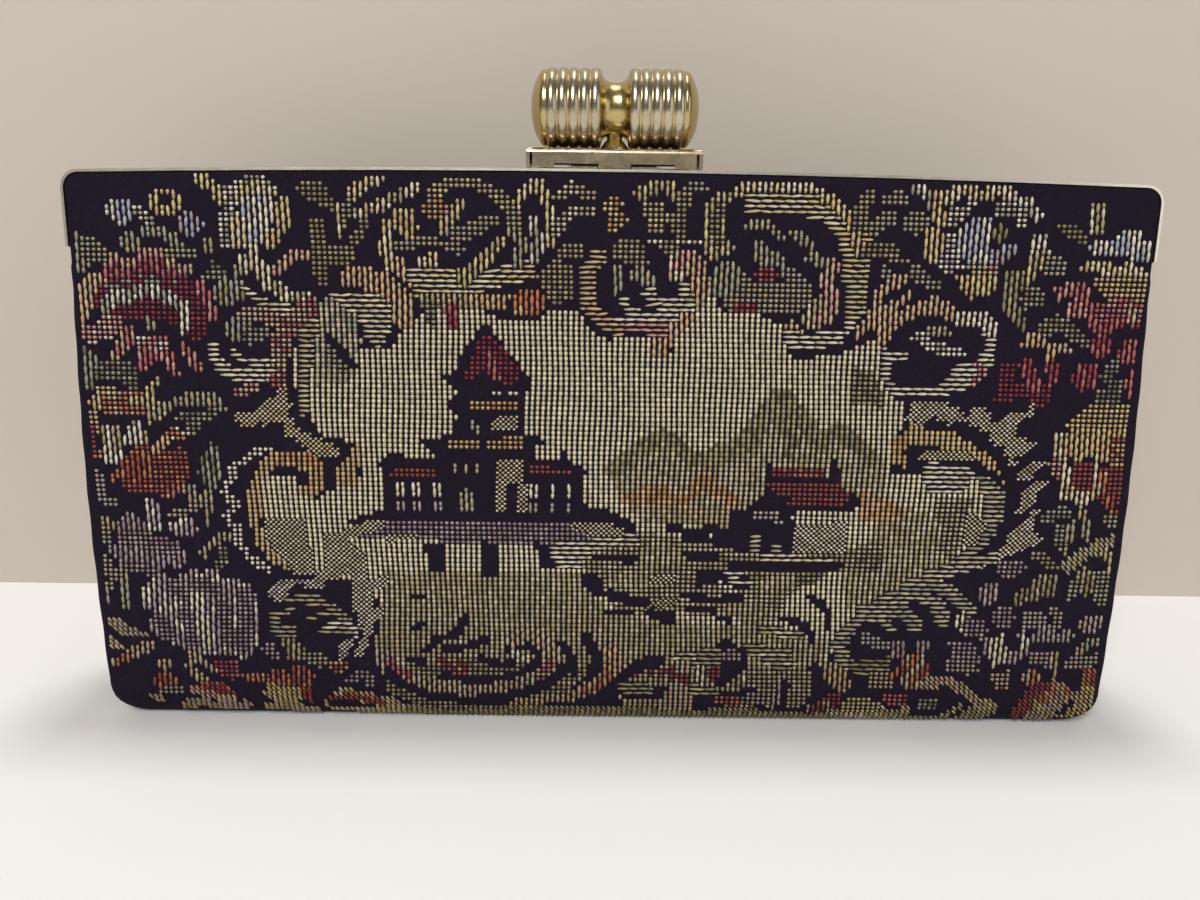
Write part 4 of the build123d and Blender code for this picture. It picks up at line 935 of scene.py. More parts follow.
    ("crimson orange twill", area((8.6, 6.6), (9.6, 7.6), (11.6, 7.8), (13.1, 5.8), (12.4, 4.2), (10, 4.8))),
    ("tan pink twill", line(0.35, (8.8, 6), (10.4, 4.8), (12.4, 4.3))),
    ("straw lilac twill", line(0.4, (7.6, 2.6), (9.6, 3.2), (11, 2.4), (13.8, 2.8))),
    ("gold orange dash", oval(15, 8.5, 1.2, 1.2)),
    ("orange rust dash", area((16.2, 8), (16.4, 10.6), (17.4, 10.8), (18.4, 9.4), (18.6, 11.2), (20.2, 10.8),
     (21.2, 8.8), (20.2, 6.6), (18, 6.4))),
    ("yellow gold twill", area((15.6, 5.6), (16.4, 7.6), (18, 6.6), (19.8, 6.6), (19.6, 4), (18, 3.4),
     (16.6, 3.8))),
    ("rust crimson twill", line((0.5, 0.4), (20.2, 6), (20.4, 4.2))),
    ("gold rust dot", oval(23.2, 11, 1.2, 1.3)),
    ("yellow tan twill", area((21.4, 3), (22.2, 5), (23.6, 6.8), (26, 5.8), (28.4, 5), (29.6, 3.4), (30, 1.4),
     (27.4, 1.2), (25, 1.4), (22.6, 1.6))),
    ("rust orange twill", line(0.35, (22.6, 4.2), (25, 4.8), (27.6, 3.6))),
    ("ground", line((0.35, 0.25), (22.4, 3.4), (24.4, 3.4), (26.4, 2.8))),
    ("straw tan twill", line(0.35, (16, 2.6), (18.6, 2.2), (21, 1.8))),
    ("mauve lilac dot", line(0.4, (24.4, 8.4), (25.6, 9.4), (26.6, 7.6))),
    # acanthus leaf, lower left of the view
    ("white lilac check", area((16.6, 25.4), (17, 27), (18.4, 28.6), (22, 28.4), (22.2, 26.6), (19, 27),
     (18.6, 25), (17.6, 23.4))),
    ("straw sage row", area((18, 23.8), (19.2, 25.2), (21.4, 25.2), (23, 23.6), (24.7, 21.2), (24.4, 19.8),
     (22.6, 21), (20, 20.2), (22, 22.4), (20.6, 23.2)),
     area((16.5, 21.4), (18.4, 22.8), (19.2, 22.2), (17.6, 20.8), (17.8, 19.4), (19.2, 19.8), (19.2, 16.8),
     (17.8, 16.4), (16.5, 18))),
    ("straw white row", area((21, 17), (22, 19.6), (24, 20.8), (25.6, 18.8), (25.4, 16.8), (23.6, 17.6))),
    ("white pale check", area((24.4, 30), (25.6, 31), (26.4, 28.4), (28.4, 28.8), (28, 27), (26.6, 26),
     (26.6, 24), (28, 22), (27.2, 20.4), (26.8, 18), (25.6, 13.2), (24.8, 13.6), (25.8, 18), (25.2, 21),
     (24.8, 24), (25, 27))),
    ("white lilac check", area((23.6, 16.4), (24.8, 16.6), (24.4, 13.4), (23.4, 12), (23, 12.6))),
    ("olive straw dash", area((17.3, 16.4), (18.8, 16.4), (20.6, 13.6), (20.6, 11.6), (18.4, 12.4))),
    ("lilac mauve dot", line((0.5, 0.4), (16.4, 14.6), (17.2, 13))),
    ("straw sage dot", line((0.6, 0.5), (20.6, 13), (21.6, 12))),
    # curl at the foot of the view
    ("straw tan cord", area((27, 14), (26.8, 17), (27.6, 19.4), (28.4, 21), (30, 19.8), (30.4, 16.8),
     (30, 14.6), (29, 14.4), (28.4, 12)), area((32, 30), (36, 30.4), (37.4, 29), (35.6, 26.6), (32.4, 27)),
     area((46, 22), (49.8, 22), (49.8, 20), (48.4, 18), (45.8, 18.4))),
    ("straw olive dot", area((30, 13), (32, 11.4), (36, 13), (40, 12.4), (43, 12), (46, 12.6), (48, 11),
     (46.4, 8.6), (43.6, 9.4), (38, 8.2), (33, 8.4), (30, 10.4))),
    ("ground", line(0.5, (28.4, 9), (30.6, 6.6), (34, 5), (38.6, 5.2), (42, 6.8), (44, 8.8)),
     line((0.4, 0.5), (35, 8), (39, 8.5), (42, 10.2), (43.2, 12.6), (42.8, 15), (41.6, 15.5), (40.2, 14.8))),
    ("tan pale dash", line(0.8, (27.8, 13), (28.6, 10.8), (30.4, 8.6), (33, 7), (36, 6.3), (39, 6.8),
     (42, 8.4), (43.8, 10.4), (44.4, 13), (44, 15.6), (42.8, 17.3), (40.6, 17.2))),
    ("rose peach dash", line(0.45, (28.3, 11.8), (29.4, 9.6), (30.4, 8.8))),
    ("rose tan dot", line(0.5, (43.4, 9.8), (44, 11.6))),
    ("crimson rose dot", line((0.7, 0.5), (34.2, 11.2), (35.6, 10))),
    ("ground", line((0.4, 0.5), (34, 15), (36.2, 15.4), (37.6, 16.6)),
     line((0.3, 0.4), (34.8, 18.6), (35.9, 20.8)), line((0.3, 0.45), (30.2, 12.4), (31.8, 12.4)),
     line(0.35, (30.6, 18.6), (31.4, 19.6)), line(0.3, (30.4, 24.6), (32, 25.4))),
    ("cream white dash", line((0.45, 0.4), (40.6, 13.6), (42, 13))),
    ("straw olive dot", line((0.7, 0.6), (28.6, 7.4), (31, 5), (34, 3.8), (38, 3.6), (40, 4.6), (43, 5.8),
     (46, 6.4))),
    ("ground", line((0.55, 0.5), (48, 17.2), (48.6, 14.8), (49.3, 12.8), (48.5, 11)),
     line(0.4, (36, 4.6), (40, 3.6), (43, 3))),
    ("peach tan dash", line((0.7, 0.6), (50.2, 15), (50.5, 12.4), (50.2, 9.8), (48.6, 7.6), (46.6, 5.4),
     (44.4, 4.2), (41, 4))),
    ("orange peach dash", line(0.45, (50.6, 11.6), (49.6, 9), (48, 7))),
    ("ground", line((0.5, 0.9), (44, 2.9), (47.4, 3.6), (49.6, 5.8), (51.4, 8.6))),
    ("straw olive twill", line(0.6, (30.6, 2.4), (34, 1.8), (38, 1.4), (42, 1.6), (46, 1.8), (51, 1.6))),
    ("olive straw dot", line(0.4, (32, 3.4), (36, 2.8))),
    ("ground", line((0.45, 0.5), (28, 10.4), (29.6, 7.6), (32, 5.6), (35.4, 4.6), (39, 5), (42, 6.4),
     (44.6, 8.8), (45.6, 11.6)),
     line((0.4, 0.45), (33.6, 9.4), (37, 8.8), (40, 9.4), (42.4, 11.4), (43, 14), (42, 15.4)),
     line((0.35, 0.4), (37.4, 13.2), (39, 12), (40.6, 12)),
     line((0.35, 0.4), (32, 14), (33, 16.6), (35, 17.6)),
     line((0.4, 0.45), (45.4, 16), (46.4, 13), (46.6, 10))),
    ("rust tan dot", line(0.4, (33.4, 12.6), (35.4, 11.6))),
    # leaves and buds along the bottom right
    ("tan pale cord", area((56, 13), (58.4, 12.6), (58.6, 2.4), (56, 2.4))),
    ("rust tan dot", line((0.6, 0.5), (53, 11.2), (55.6, 11), (57.6, 9))),
    ("ground", line((0.5, 0.8), (51.8, 10.4), (53.6, 12.2), (54.8, 12.8)),
     line((0.6, 0.4), (54.4, 7), (56, 7.2)), line(0.4, (52, 5.6), (55.4, 5.4))),
    ("straw sage row", line(0.6, (52, 7.6), (53.8, 7))),
    ("cream yellow dash", area((58.5, 12), (60, 11.8), (59.8, 8), (58.6, 8))),
    ("crimson rust dot", oval(60.7, 10.4, 0.9, 1.5)),
    ("ground", area((61, 16.6), (62, 17.8), (63, 16), (64.2, 14.8), (63.6, 11.4), (62, 8), (60.4, 7.6),
     (61.4, 10), (61.2, 14))),
    ("lilac mauve dot", oval(62.4, 14.2, 1.0, 1.3)),
    ("straw cream dash", area((62.2, 8), (62.8, 9.6), (64, 10.4), (64, 7.4))),
    ("ground", area((58.8, 7.4), (60, 6), (61.6, 6.6), (64, 7), (64, 2.6), (59, 2.6))),
    ("straw yellow row", line((0.5, 0.4), (58.8, 7.2), (60.6, 6.8))),
    ("olive yellow dot", area((61.6, 3), (62, 5.4), (63.4, 6.2), (64.8, 4.4), (65, 2.4), (62.4, 2))),
    ("orange rust dot", line(0.4, (61.2, 5.4), (62.8, 4.6))),
    ("lilac straw dot", line(0.5, (64.4, 6), (65.2, 5))),
    ("straw pale dot", area((64, 11.4), (70.6, 11.2), (70.8, 8), (70, 4), (68.4, 3), (66, 3), (65.6, 7),
     (64, 8))),
    ("lilac pale dash", line(0.3, (67.6, 9.6), (67.2, 6), (66.6, 3))),
    ("ground", line(0.4, (67.9, 8.6), (67.6, 4)), line(0.6, (70.8, 11.8), (71.6, 9), (72.4, 7.6))),
    ("straw olive twill", line(0.6, (51.6, 1.6), (58, 1.4), (64, 1.6), (68, 1.2), (73, 1.4))),
    ("gold tan dash", line(0.8, (72.6, 11.6), (73, 10), (73.6, 8.8))),
    ("crimson rust dot", oval(72.8, 5.4, 1.1, 1.7)),
    ("tan rust dash", line(0.5, (70.6, 3), (72, 3.8))),
    ("yellow gold dot", area((73.4, 4), (74.6, 5.8), (76.4, 5.8), (77.8, 4.6), (77.8, 2.4), (76, 2.2),
     (74, 2.4))),
    ("straw cream twill", line(0.4, (73, 2.2), (75, 1.4), (77, 1.6), (78.2, 3))),
    ("rose crimson dot", line(0.6, (78.4, 6), (79.8, 5.4))),
    ("yellow straw twill", line((0.6, 0.5), (78.2, 1), (79.6, 2), (80.4, 2.8))),
    # acanthus leaf, lower right of the view
    ("ground", area((74.2, 19.6), (75, 21), (78, 21.2), (80, 19), (86, 19), (87.4, 22.6), (88, 10), (79, 7),
     (75, 9), (74, 13.6))),
    ("pale sage row", line(0.35, (74.2, 20.4), (75.4, 21.6), (77, 21.9), (78.2, 20)),
     line(0.6, (75.4, 23.4), (78, 23.8), (79.6, 22.8), (80.7, 20.4)),
     line(0.55, (77.4, 25.6), (80.6, 26.4), (82.4, 24.8), (83.4, 21.8)),
     line((0.55, 0.6), (79.6, 28.2), (82.6, 28.2), (84.4, 26.2), (85.6, 23.6))),
    ("pale cream row", line((0.6, 0.5), (81.4, 30.2), (83.4, 31.4), (85.6, 32.8), (87.6, 34))),
    ("white cream dash", line(0.3, (85.1, 23), (85.1, 20.4))),
    ("pale sage row", line(0.6, (73.9, 19.4), (73.1, 17), (73.4, 14.4), (74, 13))),
    ("straw olive row", area((74, 13), (78.4, 14.6), (78.4, 10.8), (75, 10.6), (74, 11.4))),
    ("sage lilac dot", line(0.5, (75.8, 18), (77, 16.8), (78, 16.6))),
    ("straw tan dot", area((76, 10.8), (79, 11.2), (79, 8), (76.2, 7.6))),
    ("mauve lilac dash", area((78.3, 17.6), (79.6, 17.9), (79.8, 14), (78.4, 14)),
     area((80.6, 15.4), (81, 17.6), (82.6, 17.4), (82.4, 15.8), (81.4, 14.4))),
    ("tan orange dash", area((79, 12), (80, 14.6), (81.6, 14.6), (82.4, 12), (82, 9.8), (81, 7),
     (79.4, 8.8))),
    ("rust orange dash", line(0.4, (78.8, 10.8), (79.6, 11.6)), line(0.35, (82, 12), (81.8, 9))),
    ("lilac mauve dot", area((83.5, 17.8), (85.6, 17.6), (87, 16.6), (87.6, 13), (84, 13.2), (84.6, 15.4))),
    ("straw lilac dot", area((83.8, 12.6), (86, 12.8), (88, 12.4), (86.6, 10.8), (84, 11))),
    # small flowers and leaves at the lower right
    ("lilac mauve dash", oval(87.7, 27, 1.1, 2.1)),
    ("mauve lilac dot", oval(89.2, 22.4, 1.3, 2.1)),
    ("lilac mauve dot", area((85.3, 22), (87.4, 22), (88, 20), (87.4, 17.8), (86, 18.2), (85.2, 20))),
    ("lilac sage dot", oval(92.4, 22, 1.3, 2.1)),
    ("sage straw dot", line((0.45, 0.4), (94.4, 23.8), (94.8, 21.4))),
    ("cream white dash", area((88.1, 18), (89, 18.9), (90.1, 18.8), (89.5, 17), (90.5, 15.6), (90.4, 12.8),
     (88.8, 12.6), (88.1, 15))),
    ("lilac white dash", line((0.4, 0.35), (90.5, 14), (91.4, 15.4), (91.8, 17.4), (91.2, 19))),
    ("lilac sage dash", line(0.3, (87.7, 18), (87.7, 15.4))),
    ("olive straw dash", area((90.1, 24.2), (90.4, 27.4), (91.6, 28.2), (92, 30.6), (94.2, 30.4), (94, 26.4),
     (92.6, 26), (91.4, 25.4))),
    ("sage olive dot", area((95.3, 25), (95.3, 29.6), (96.2, 31.8), (98, 32.2), (99.7, 30.6), (99.5, 25.2),
     (98.4, 24.4), (97.8, 27), (96, 26.8))),
    ("straw olive dash", line((0.5, 0.4), (96.6, 31), (97.4, 29), (97, 27.4))),
    ("lilac straw dash", area((96.8, 20.4), (97.2, 22.4), (98.4, 23.4), (99.5, 22.4), (99.3, 20),
     (98.4, 18.8), (97.4, 19))),
    ("lilac sage dash", line(0.5, (93, 18.4), (93.6, 20.2), (94.6, 18.6), (96, 18.6))),
    ("straw sage dash", line(0.5, (97.2, 15), (98, 17), (99.2, 17.6))),
    ("straw lilac dot", line(0.5, (96.4, 13.2), (98.4, 13.6), (99.6, 14.6))),
    ("straw tan dash", area((94, 13), (94.4, 16), (95, 15.6), (95.6, 11), (95, 10.6))),
    ("lilac straw dot", area((92, 13), (92.4, 15.6), (94, 15.4), (94, 12.6))),
    ("orange tan dash", area((91.6, 10), (92.2, 12.2), (93.6, 11.6), (93.4, 8.8), (92.2, 9))),
    ("tan rust dot", area((88.6, 11.6), (90.6, 11.8), (90.6, 8), (89, 7.8))),
    ("tan straw twill", line((0.5, 0.45), (82, 8.8), (84.2, 9.4), (86, 7.6), (87.2, 5.6), (88, 4.4))),
    ("sage moss dot", oval(82.5, 4.6, 1.1, 1.5)),
    ("straw yellow twill", area((83.4, 1), (84.8, 3.6), (86, 5.2), (86.4, 4), (88, 4.2), (88.4, 6), (89.8, 5),
     (89.6, 3), (88.4, 1), (86, 1))),
    ("ground", line(0.25, (85.2, 1.4), (86.2, 4))),
    ("straw olive dot", line(0.35, (80.8, 0.9), (83, 1.2))),
    ("gold orange twill", area((91.6, 2), (92.2, 6), (93.4, 8.8), (95, 10), (96.4, 9.2), (97.4, 7.6),
     (98.2, 9.8), (99.8, 11.6), (100, 8), (99.6, 5), (98.4, 2.4), (96.4, 1.6), (94, 1))),
    ("rust crimson twill", line((0.6, 0.5), (92, 2.8), (92.8, 6.4), (94, 8.4))),
    ("tan lilac twill", line(0.35, (93, 1.4), (94.6, 4.4), (96, 7)),
     line(0.35, (94.4, 1.2), (96, 4.4), (97.4, 7))),
    ("yellow gold twill", line(0.5, (97.6, 3), (98.8, 5.4), (99.2, 8))),
    ("ground", line(0.35, (96.2, 3), (97.2, 5))),
    ("rust orange twill", line((0.6, 0.5), (98.6, 10.8), (99.6, 9.8))),
    ("straw sage twill", line(0.5, (95, 32.4), (96, 34.6), (97.4, 36), (98.8, 37.2), (100, 37.8))),
    ("olive sage dot", area((91, 34.4), (91.6, 35.2), (93, 34.8), (94.3, 32), (93, 31.8), (92.2, 33))),
    ("lilac mauve dot", oval(89.5, 32, 1.5, 1.8)),
    ("tan straw dash", line(0.5, (98.7, 34.8), (99.4, 33.4), (99.5, 31.8))),
    ("straw sage dash", line((0.4, 0.35), (95.6, 43.2), (96.2, 41), (96.5, 38)),
     line(0.3, (94.5, 40.2), (94.5, 35.4)), line(0.3, (95.1, 40.6), (95.1, 38))),
    ("sage moss dot", line(0.5, (93.7, 39.6), (93.9, 36.8)),
     line((0.5, 0.4), (92.4, 41.4), (93.6, 43), (94.4, 42.6))),
    ("sage olive dot", line(0.6, (98.6, 41.6), (99.6, 41.4))),
    # gold flower at the right
    ("yellow gold dot", area((93.2, 58.4), (94.2, 60.6), (95.4, 62.4), (99.6, 62.4), (100, 59), (98, 58),
     (94, 58))),
    ("gold yellow dash", area((92.2, 57), (93.4, 57.8), (94, 58.2), (100, 58.6), (100, 52), (97, 52.4),
     (95.8, 53), (94.4, 52.2), (93.4, 53.6), (92.2, 54))),
    ("gold rust dot", area((97.6, 57), (100, 57), (100, 50.4), (97.8, 50.4))),
    ("rust crimson dot", area((94.2, 52.2), (97, 51.6), (100, 50.4), (100, 45.4), (98.6, 42.8), (97.2, 45),
     (96.4, 47.2), (95.4, 45), (94.4, 47))),
    ("cream tan dash", line((0.5, 0.4), (92.7, 56.4), (92.6, 53.6), (93.4, 51), (93.8, 48), (93.9, 45.8))),
    ("tan rose dot", line(0.4, (92.4, 51.8), (92.8, 49.8))),
    ("cream gold dash", line(0.3, (96.5, 54.4), (96.5, 50), (96.5, 46))),
    ("yellow gold dash", line(0.3, (95.2, 57.4), (95.2, 53))),
    ("cream gold dash", line(0.45, (94.5, 46.4), (95.4, 44.8), (96, 46))),
    ("tan orange dash", line(0.35, (97.2, 50), (97.2, 46.4))),
    ("rust orange dash", line((0.4, 0.35), (98.2, 45.4), (98.7, 43))),
    # blue flower, top right
    ("straw olive dot", line(0.5, (72.4, 93), (72.4, 96), (73.2, 98))),
    ("straw sage dot", line(0.5, (73.6, 92.4), (74.4, 94.4), (75.2, 94.4))),
    ("straw olive dot", area((72.4, 89.4), (74, 90.6), (75.8, 89.8), (76.6, 87.8), (77.6, 86.6), (76, 86.4),
     (74.4, 87.8), (72.6, 88))),
    ("sage straw dot", oval(75.6, 97.6, 1.3, 1.3), oval(77.6, 93.6, 1.4, 1.9)),
    ("sage lilac dot", line(0.4, (75, 85.8), (75.2, 84.8))),
    ("sage olive dot", line((0.5, 0.4), (77.8, 85.6), (79, 83.8), (80, 83.2))),
    ("white sage dash", line(0.4, (77.2, 99.3), (78.4, 98.6), (78.8, 96.8))),
    ("yellow gold dash", line((0.5, 0.45), (79.4, 97.8), (79.4, 95.6), (79.9, 93.8))),
    ("yellow cream dash", line(0.55, (79.9, 97.6), (80.8, 98.8), (81.8, 99.4), (82.7, 98.2))),
    ("white sage dot", area((80.2, 96.8), (82.8, 97.2), (82.4, 95.4), (81.4, 93.2), (80.2, 93.4))),
    ("yellow cream dash", line(0.5, (83.8, 98.6), (84.8, 99.3), (85.9, 98.2))),
    ("white sage dash", line((0.45, 0.4), (86.4, 97.4), (87.6, 97), (88.4, 95))),
    ("white sage dot", area((84.2, 97), (86, 97.4), (87.8, 95.8), (87.6, 92.6), (86.6, 93.4), (86.4, 95),
     (84.6, 95.2))),
    ("blue white dash", area((81.4, 92.4), (82.4, 94.4), (84.2, 94.6), (84.6, 90.6), (84.8, 87), (82.8, 86.8),
     (81.6, 88))),
    ("white lilac dot", area((79.8, 92), (81.6, 92.2), (81.6, 88.6), (82.4, 86.4), (81, 85), (80, 86),
     (79.4, 87.6))),
    ("yellow gold dash", line(0.7, (79.2, 91.6), (79.2, 88.6))),
    ("blue lilac dash", area((84.7, 89.4), (86.2, 90.6), (87.2, 90.2), (86.6, 88), (85.4, 86.2),
     (84.8, 87.4))),
    ("olive yellow dash", oval(85.4, 92.2, 0.8, 1.4)),
    ("tan pink dot", line(0.3, (83, 86.1), (85, 85.9))),
    ("yellow gold dash", area((81.4, 85.6), (82.2, 84.6), (83, 85), (84.6, 84.8), (85.7, 85.2), (85.7, 83.2),
     (84.4, 81.2), (83.2, 81), (82.4, 82.4), (81.5, 84))),
    ("sage white dash", area((88, 92), (89.4, 92), (90, 89), (89.4, 87), (88.2, 88))),
    ("yellow straw dash", line((0.6, 0.5), (88.9, 88), (88.7, 86), (88.2, 84.8))),
    ("olive straw dash", area((86.1, 86.2), (87.6, 86), (88.2, 84.4), (87.4, 80.4), (88.2, 79), (88.7, 75.4),
     (87.6, 76.2), (86.8, 77.6), (86, 79.2), (86, 82))),
    ("sage olive dot", area((87.8, 81), (88.4, 84), (90, 82.4), (90, 79.4), (88.8, 79.6), (88.8, 77))),
    ("sage straw dot", area((89.4, 87.4), (90, 88.8), (91.8, 87.6), (91.8, 84.6), (89.4, 85))),
    ("olive moss dot", area((90.1, 93.2), (91, 94.4), (92, 94.2), (92.6, 92.4), (93.8, 90.2), (92, 90.8),
     (91, 92))),
    # flowers at the upper right corner
    ("straw cream dash", area((93, 96.6), (93.8, 97.8), (94.6, 97.4), (95, 93.4), (94.4, 92), (93.5, 92.2),
     (93.2, 94.4))),
    ("white blue dash", area((93.2, 89.2), (94, 91.6), (95.4, 91), (96.2, 92.4), (97.2, 93.6), (98.4, 92.8),
     (98.8, 90.8), (99.8, 92), (99.9, 86.8), (98.6, 87.8), (97, 88.2), (95.4, 88.2), (94.2, 88.8))),
    ("yellow cream dash", area((92.6, 86.2), (93.4, 87.8), (95, 88), (96.2, 87), (97.4, 87.8), (98.4, 87),
     (99.2, 85.6), (100, 86.4), (100, 84), (98, 84.6), (95, 85.4))),
    ("gold yellow dot", area((93.6, 85.4), (98, 85), (100, 84.6), (100, 81), (96, 80.4), (94.8, 83))),
    ("rose pink dash", area((90.8, 83), (91.2, 80.4), (92.2, 82), (93.2, 80), (94.6, 80.2), (94.4, 82),
     (93.4, 84.4), (91.8, 84))),
    ("pink rose dash", line((0.6, 0.5), (92.9, 79), (93.8, 78.8))),
    ("rose crimson dash", area((94.3, 80.6), (96, 80.8), (100, 80.4), (99.8, 75.6), (97.8, 76.8),
     (96.4, 75.4), (94.2, 75.8))),
    ("rose pink dot", line(0.7, (95.8, 78.6), (97, 79.6), (99.4, 79))),
    ("pink tan dash", line(0.3, (98.2, 80), (98.4, 77.4))),
    ("crimson rose dash", oval(95.7, 73, 1.0, 2.0), oval(98.7, 72, 1.2, 2.3), oval(94.7, 67.6, 1.3, 2.6)),
    ("rose orange dash", area((98.4, 66), (98.8, 68.4), (100, 69.4), (100, 64), (99.2, 64))),
    ("moss sage dot", line(0.45, (97.4, 69.8), (96.6, 67.6), (98, 65.8), (96.4, 64.2), (97.8, 63.4))),
    ("crimson wine dot", area((86.1, 62.8), (86.8, 65), (86.4, 67.4), (86.8, 70), (88.4, 70), (88.2, 66.6),
     (90, 66.4), (91.8, 66.6), (91.6, 63), (90.8, 61.6), (89.6, 63.4), (88.4, 63.6), (87.2, 62.8))),
    ("rose crimson dash", line(0.5, (89, 69.8), (89.5, 68), (90, 66)),
     line((0.5, 0.4), (91.5, 69.2), (91.5, 66.6))),
    ("tan gold dash", area((88, 73), (88.8, 75), (90.4, 75), (91, 73.6), (92.6, 73.6), (93.3, 72),
     (91.6, 71.6), (91, 70), (90.4, 71), (90.6, 72.8), (89.4, 72.4))),
    ("olive sage dot", line((0.7, 0.4), (90.6, 76.4), (91.6, 77), (92.8, 75.4), (94.4, 73.6))),
]


def weavePicture():
    roll = panel["baseRoll"]
    quarter = roll * math.pi / 2  # the cloth's way round the base roll
    cols = int((panel["width"] - 2 * weave["edge"]) / weave["pitchAcross"])
    rows = int((quarter + panelTop - roll - weave["topEdge"] - weave["footEdge"]) / weave["pitchUp"])
    s = (np.arange(cols) - (cols - 1) / 2) * weave["pitchAcross"]
    sheet = weave["footEdge"] + (np.arange(rows) + 0.5) * weave["pitchUp"]  # along the cloth
    turn = np.clip((quarter - sheet) / roll, 0, None)
    t = np.where(turn > 0, roll * (1 - np.sin(turn)), sheet - quarter + roll)
    gridU, gridV = np.meshgrid((s + half) / panel["width"] * 100, t / topAt(half) * 100)
    colour, second, patch = (np.full(gridU.shape, -1) for _ in range(3))
    stitch = np.full(gridU.shape, "", dtype=object)
    names = list(threads)
    order = 0
    for look, *shapes in picture:
        bare = look == "ground"
        *pair, kind = look.split()
        for covers in shapes:
            inside = covers(gridU, gridV, 1.0 if bare else weave["spread"])
            if bare:
                colour[inside] = -1
            else:
                colour[inside], second[inside] = names.index(pair[0]), names.index(pair[-1])
                stitch[inside] = kind
                patch[inside] = order
            order += 1
    corner = panel["corner"]
    cutS, cutT = np.abs(s)[None, :] - (half - corner), corner - t[:, None]
    rounded = (cutS > 0) & (cutT > 0) & (np.hypot(cutS, cutT) > corner - weave["edge"])
    colour[rounded] = -1
    colour[t[:, None] > topAt(s)[None, :] - weave["topEdge"]] = -1
    return s, t, turn, colour, second, stitch, patch


def layStitches():  # one row for each stitch: place, turn, length, width, lean, thread
    s, t, turn, colour, second, stitch, patch = weavePicture()
    across, up = weave["pitchAcross"], weave["pitchUp"]
    done = colour < 0
    laid = []

    def runFrom(r, c, stepR, stepC, limit):  # how many stitches of its own patch a float passes over
        span = 1
        while span < limit:
            nextR, nextC = r + span * stepR, c + span * stepC
            if nextR >= len(t) or nextC >= len(s) or done[nextR, nextC] or patch[nextR, nextC] != patch[r, c]:
                break
            span += 1
        return span

    def pickThread(r, c):
        return colour[r, c] if rng.random() < weave["firstShare"] else second[r, c]

    for r, c in np.ndindex(colour.shape):
        if done[r, c]:
            continue
        kind = stitch[r, c]
        length, width, lean = stitches[kind]
        size = (up * length, across * width, lean)
        if kind == "dash":  # up the panel, its lengths changing without a beat
            span = runFrom(r, c, 1, 0, 1 + (c * 7 + r * 3 + patch[r, c]) % 2)
            done[r:r + span, c] = True
            place = (s[c], (t[r] + t[r + span - 1]) / 2)
            size = (up * (span + length), across * width, lean)
        elif kind == "row":  # across the panel
            span = runFrom(r, c, 0, 1, 2 + (r * 5 + c + patch[r, c]) % 2)
            done[r, c:c + span] = True
            place = ((s[c] + s[c + span - 1]) / 2, t[r])
            size = (across * (span + length), up * width, lean)
        elif kind == "check":  # two short floats, the second half a step over and up
            place = (s[c] - across / 4, t[r] - up / 4)
            laid.append((s[c] + across / 4, t[r] + up / 4, turn[r], *size, pickThread(r, c)))
        else:
            place = (s[c], t[r])
        laid.append((*place, turn[r], *size, pickThread(r, c)))
    return np.array(laid)


def modelStitch():  # a blunt little pillow along Y, eight points round its foot and two on its ridge
    settings = {"foot": 0.54, "crest": (0, 0.22, 1), "tail": (0, -0.36, 0.5)}
    clearSelection()
    bpy.ops.mesh.primitive_circle_add(vertices=8, radius=settings["foot"], fill_type="NOTHING")
    stitch = bpy.context.object
    bpy.ops.object.mode_set(mode="EDIT")
    bpy.ops.mesh.select_all(action="SELECT")
    bpy.ops.transform.rotate(value=math.pi / 8, orient_axis="Z", center_override=(0, 0, 0))
    bpy.ops.object.mode_set(mode="OBJECT")
    foot = np.array([v.co[:] for v in stitch.data.vertices])
    bpy.data.objects.remove(stitch)
    foot = foot[np.argsort(np.arctan2(foot[:, 1], foot[:, 0]) % (2 * math.pi))]
    points = np.vstack([foot, settings["crest"], settings["tail"]])
    faces = [(0, 1, 8), (1, 2, 8), (2, 3, 8), (3, 4, 9, 8), (4, 5, 9), (5, 6, 9), (6, 7, 9), (7, 0, 8, 9)]
    paintedLightTone = np.array([0.8, 0.95, 0.95, 0.8, 0.4, 0.3, 0.3, 0.4, 1.2, 0.62])  # painted highlight on the crest, painted shade at the tail and lower foot where it dips under
    return points, faces, paintedLightTone


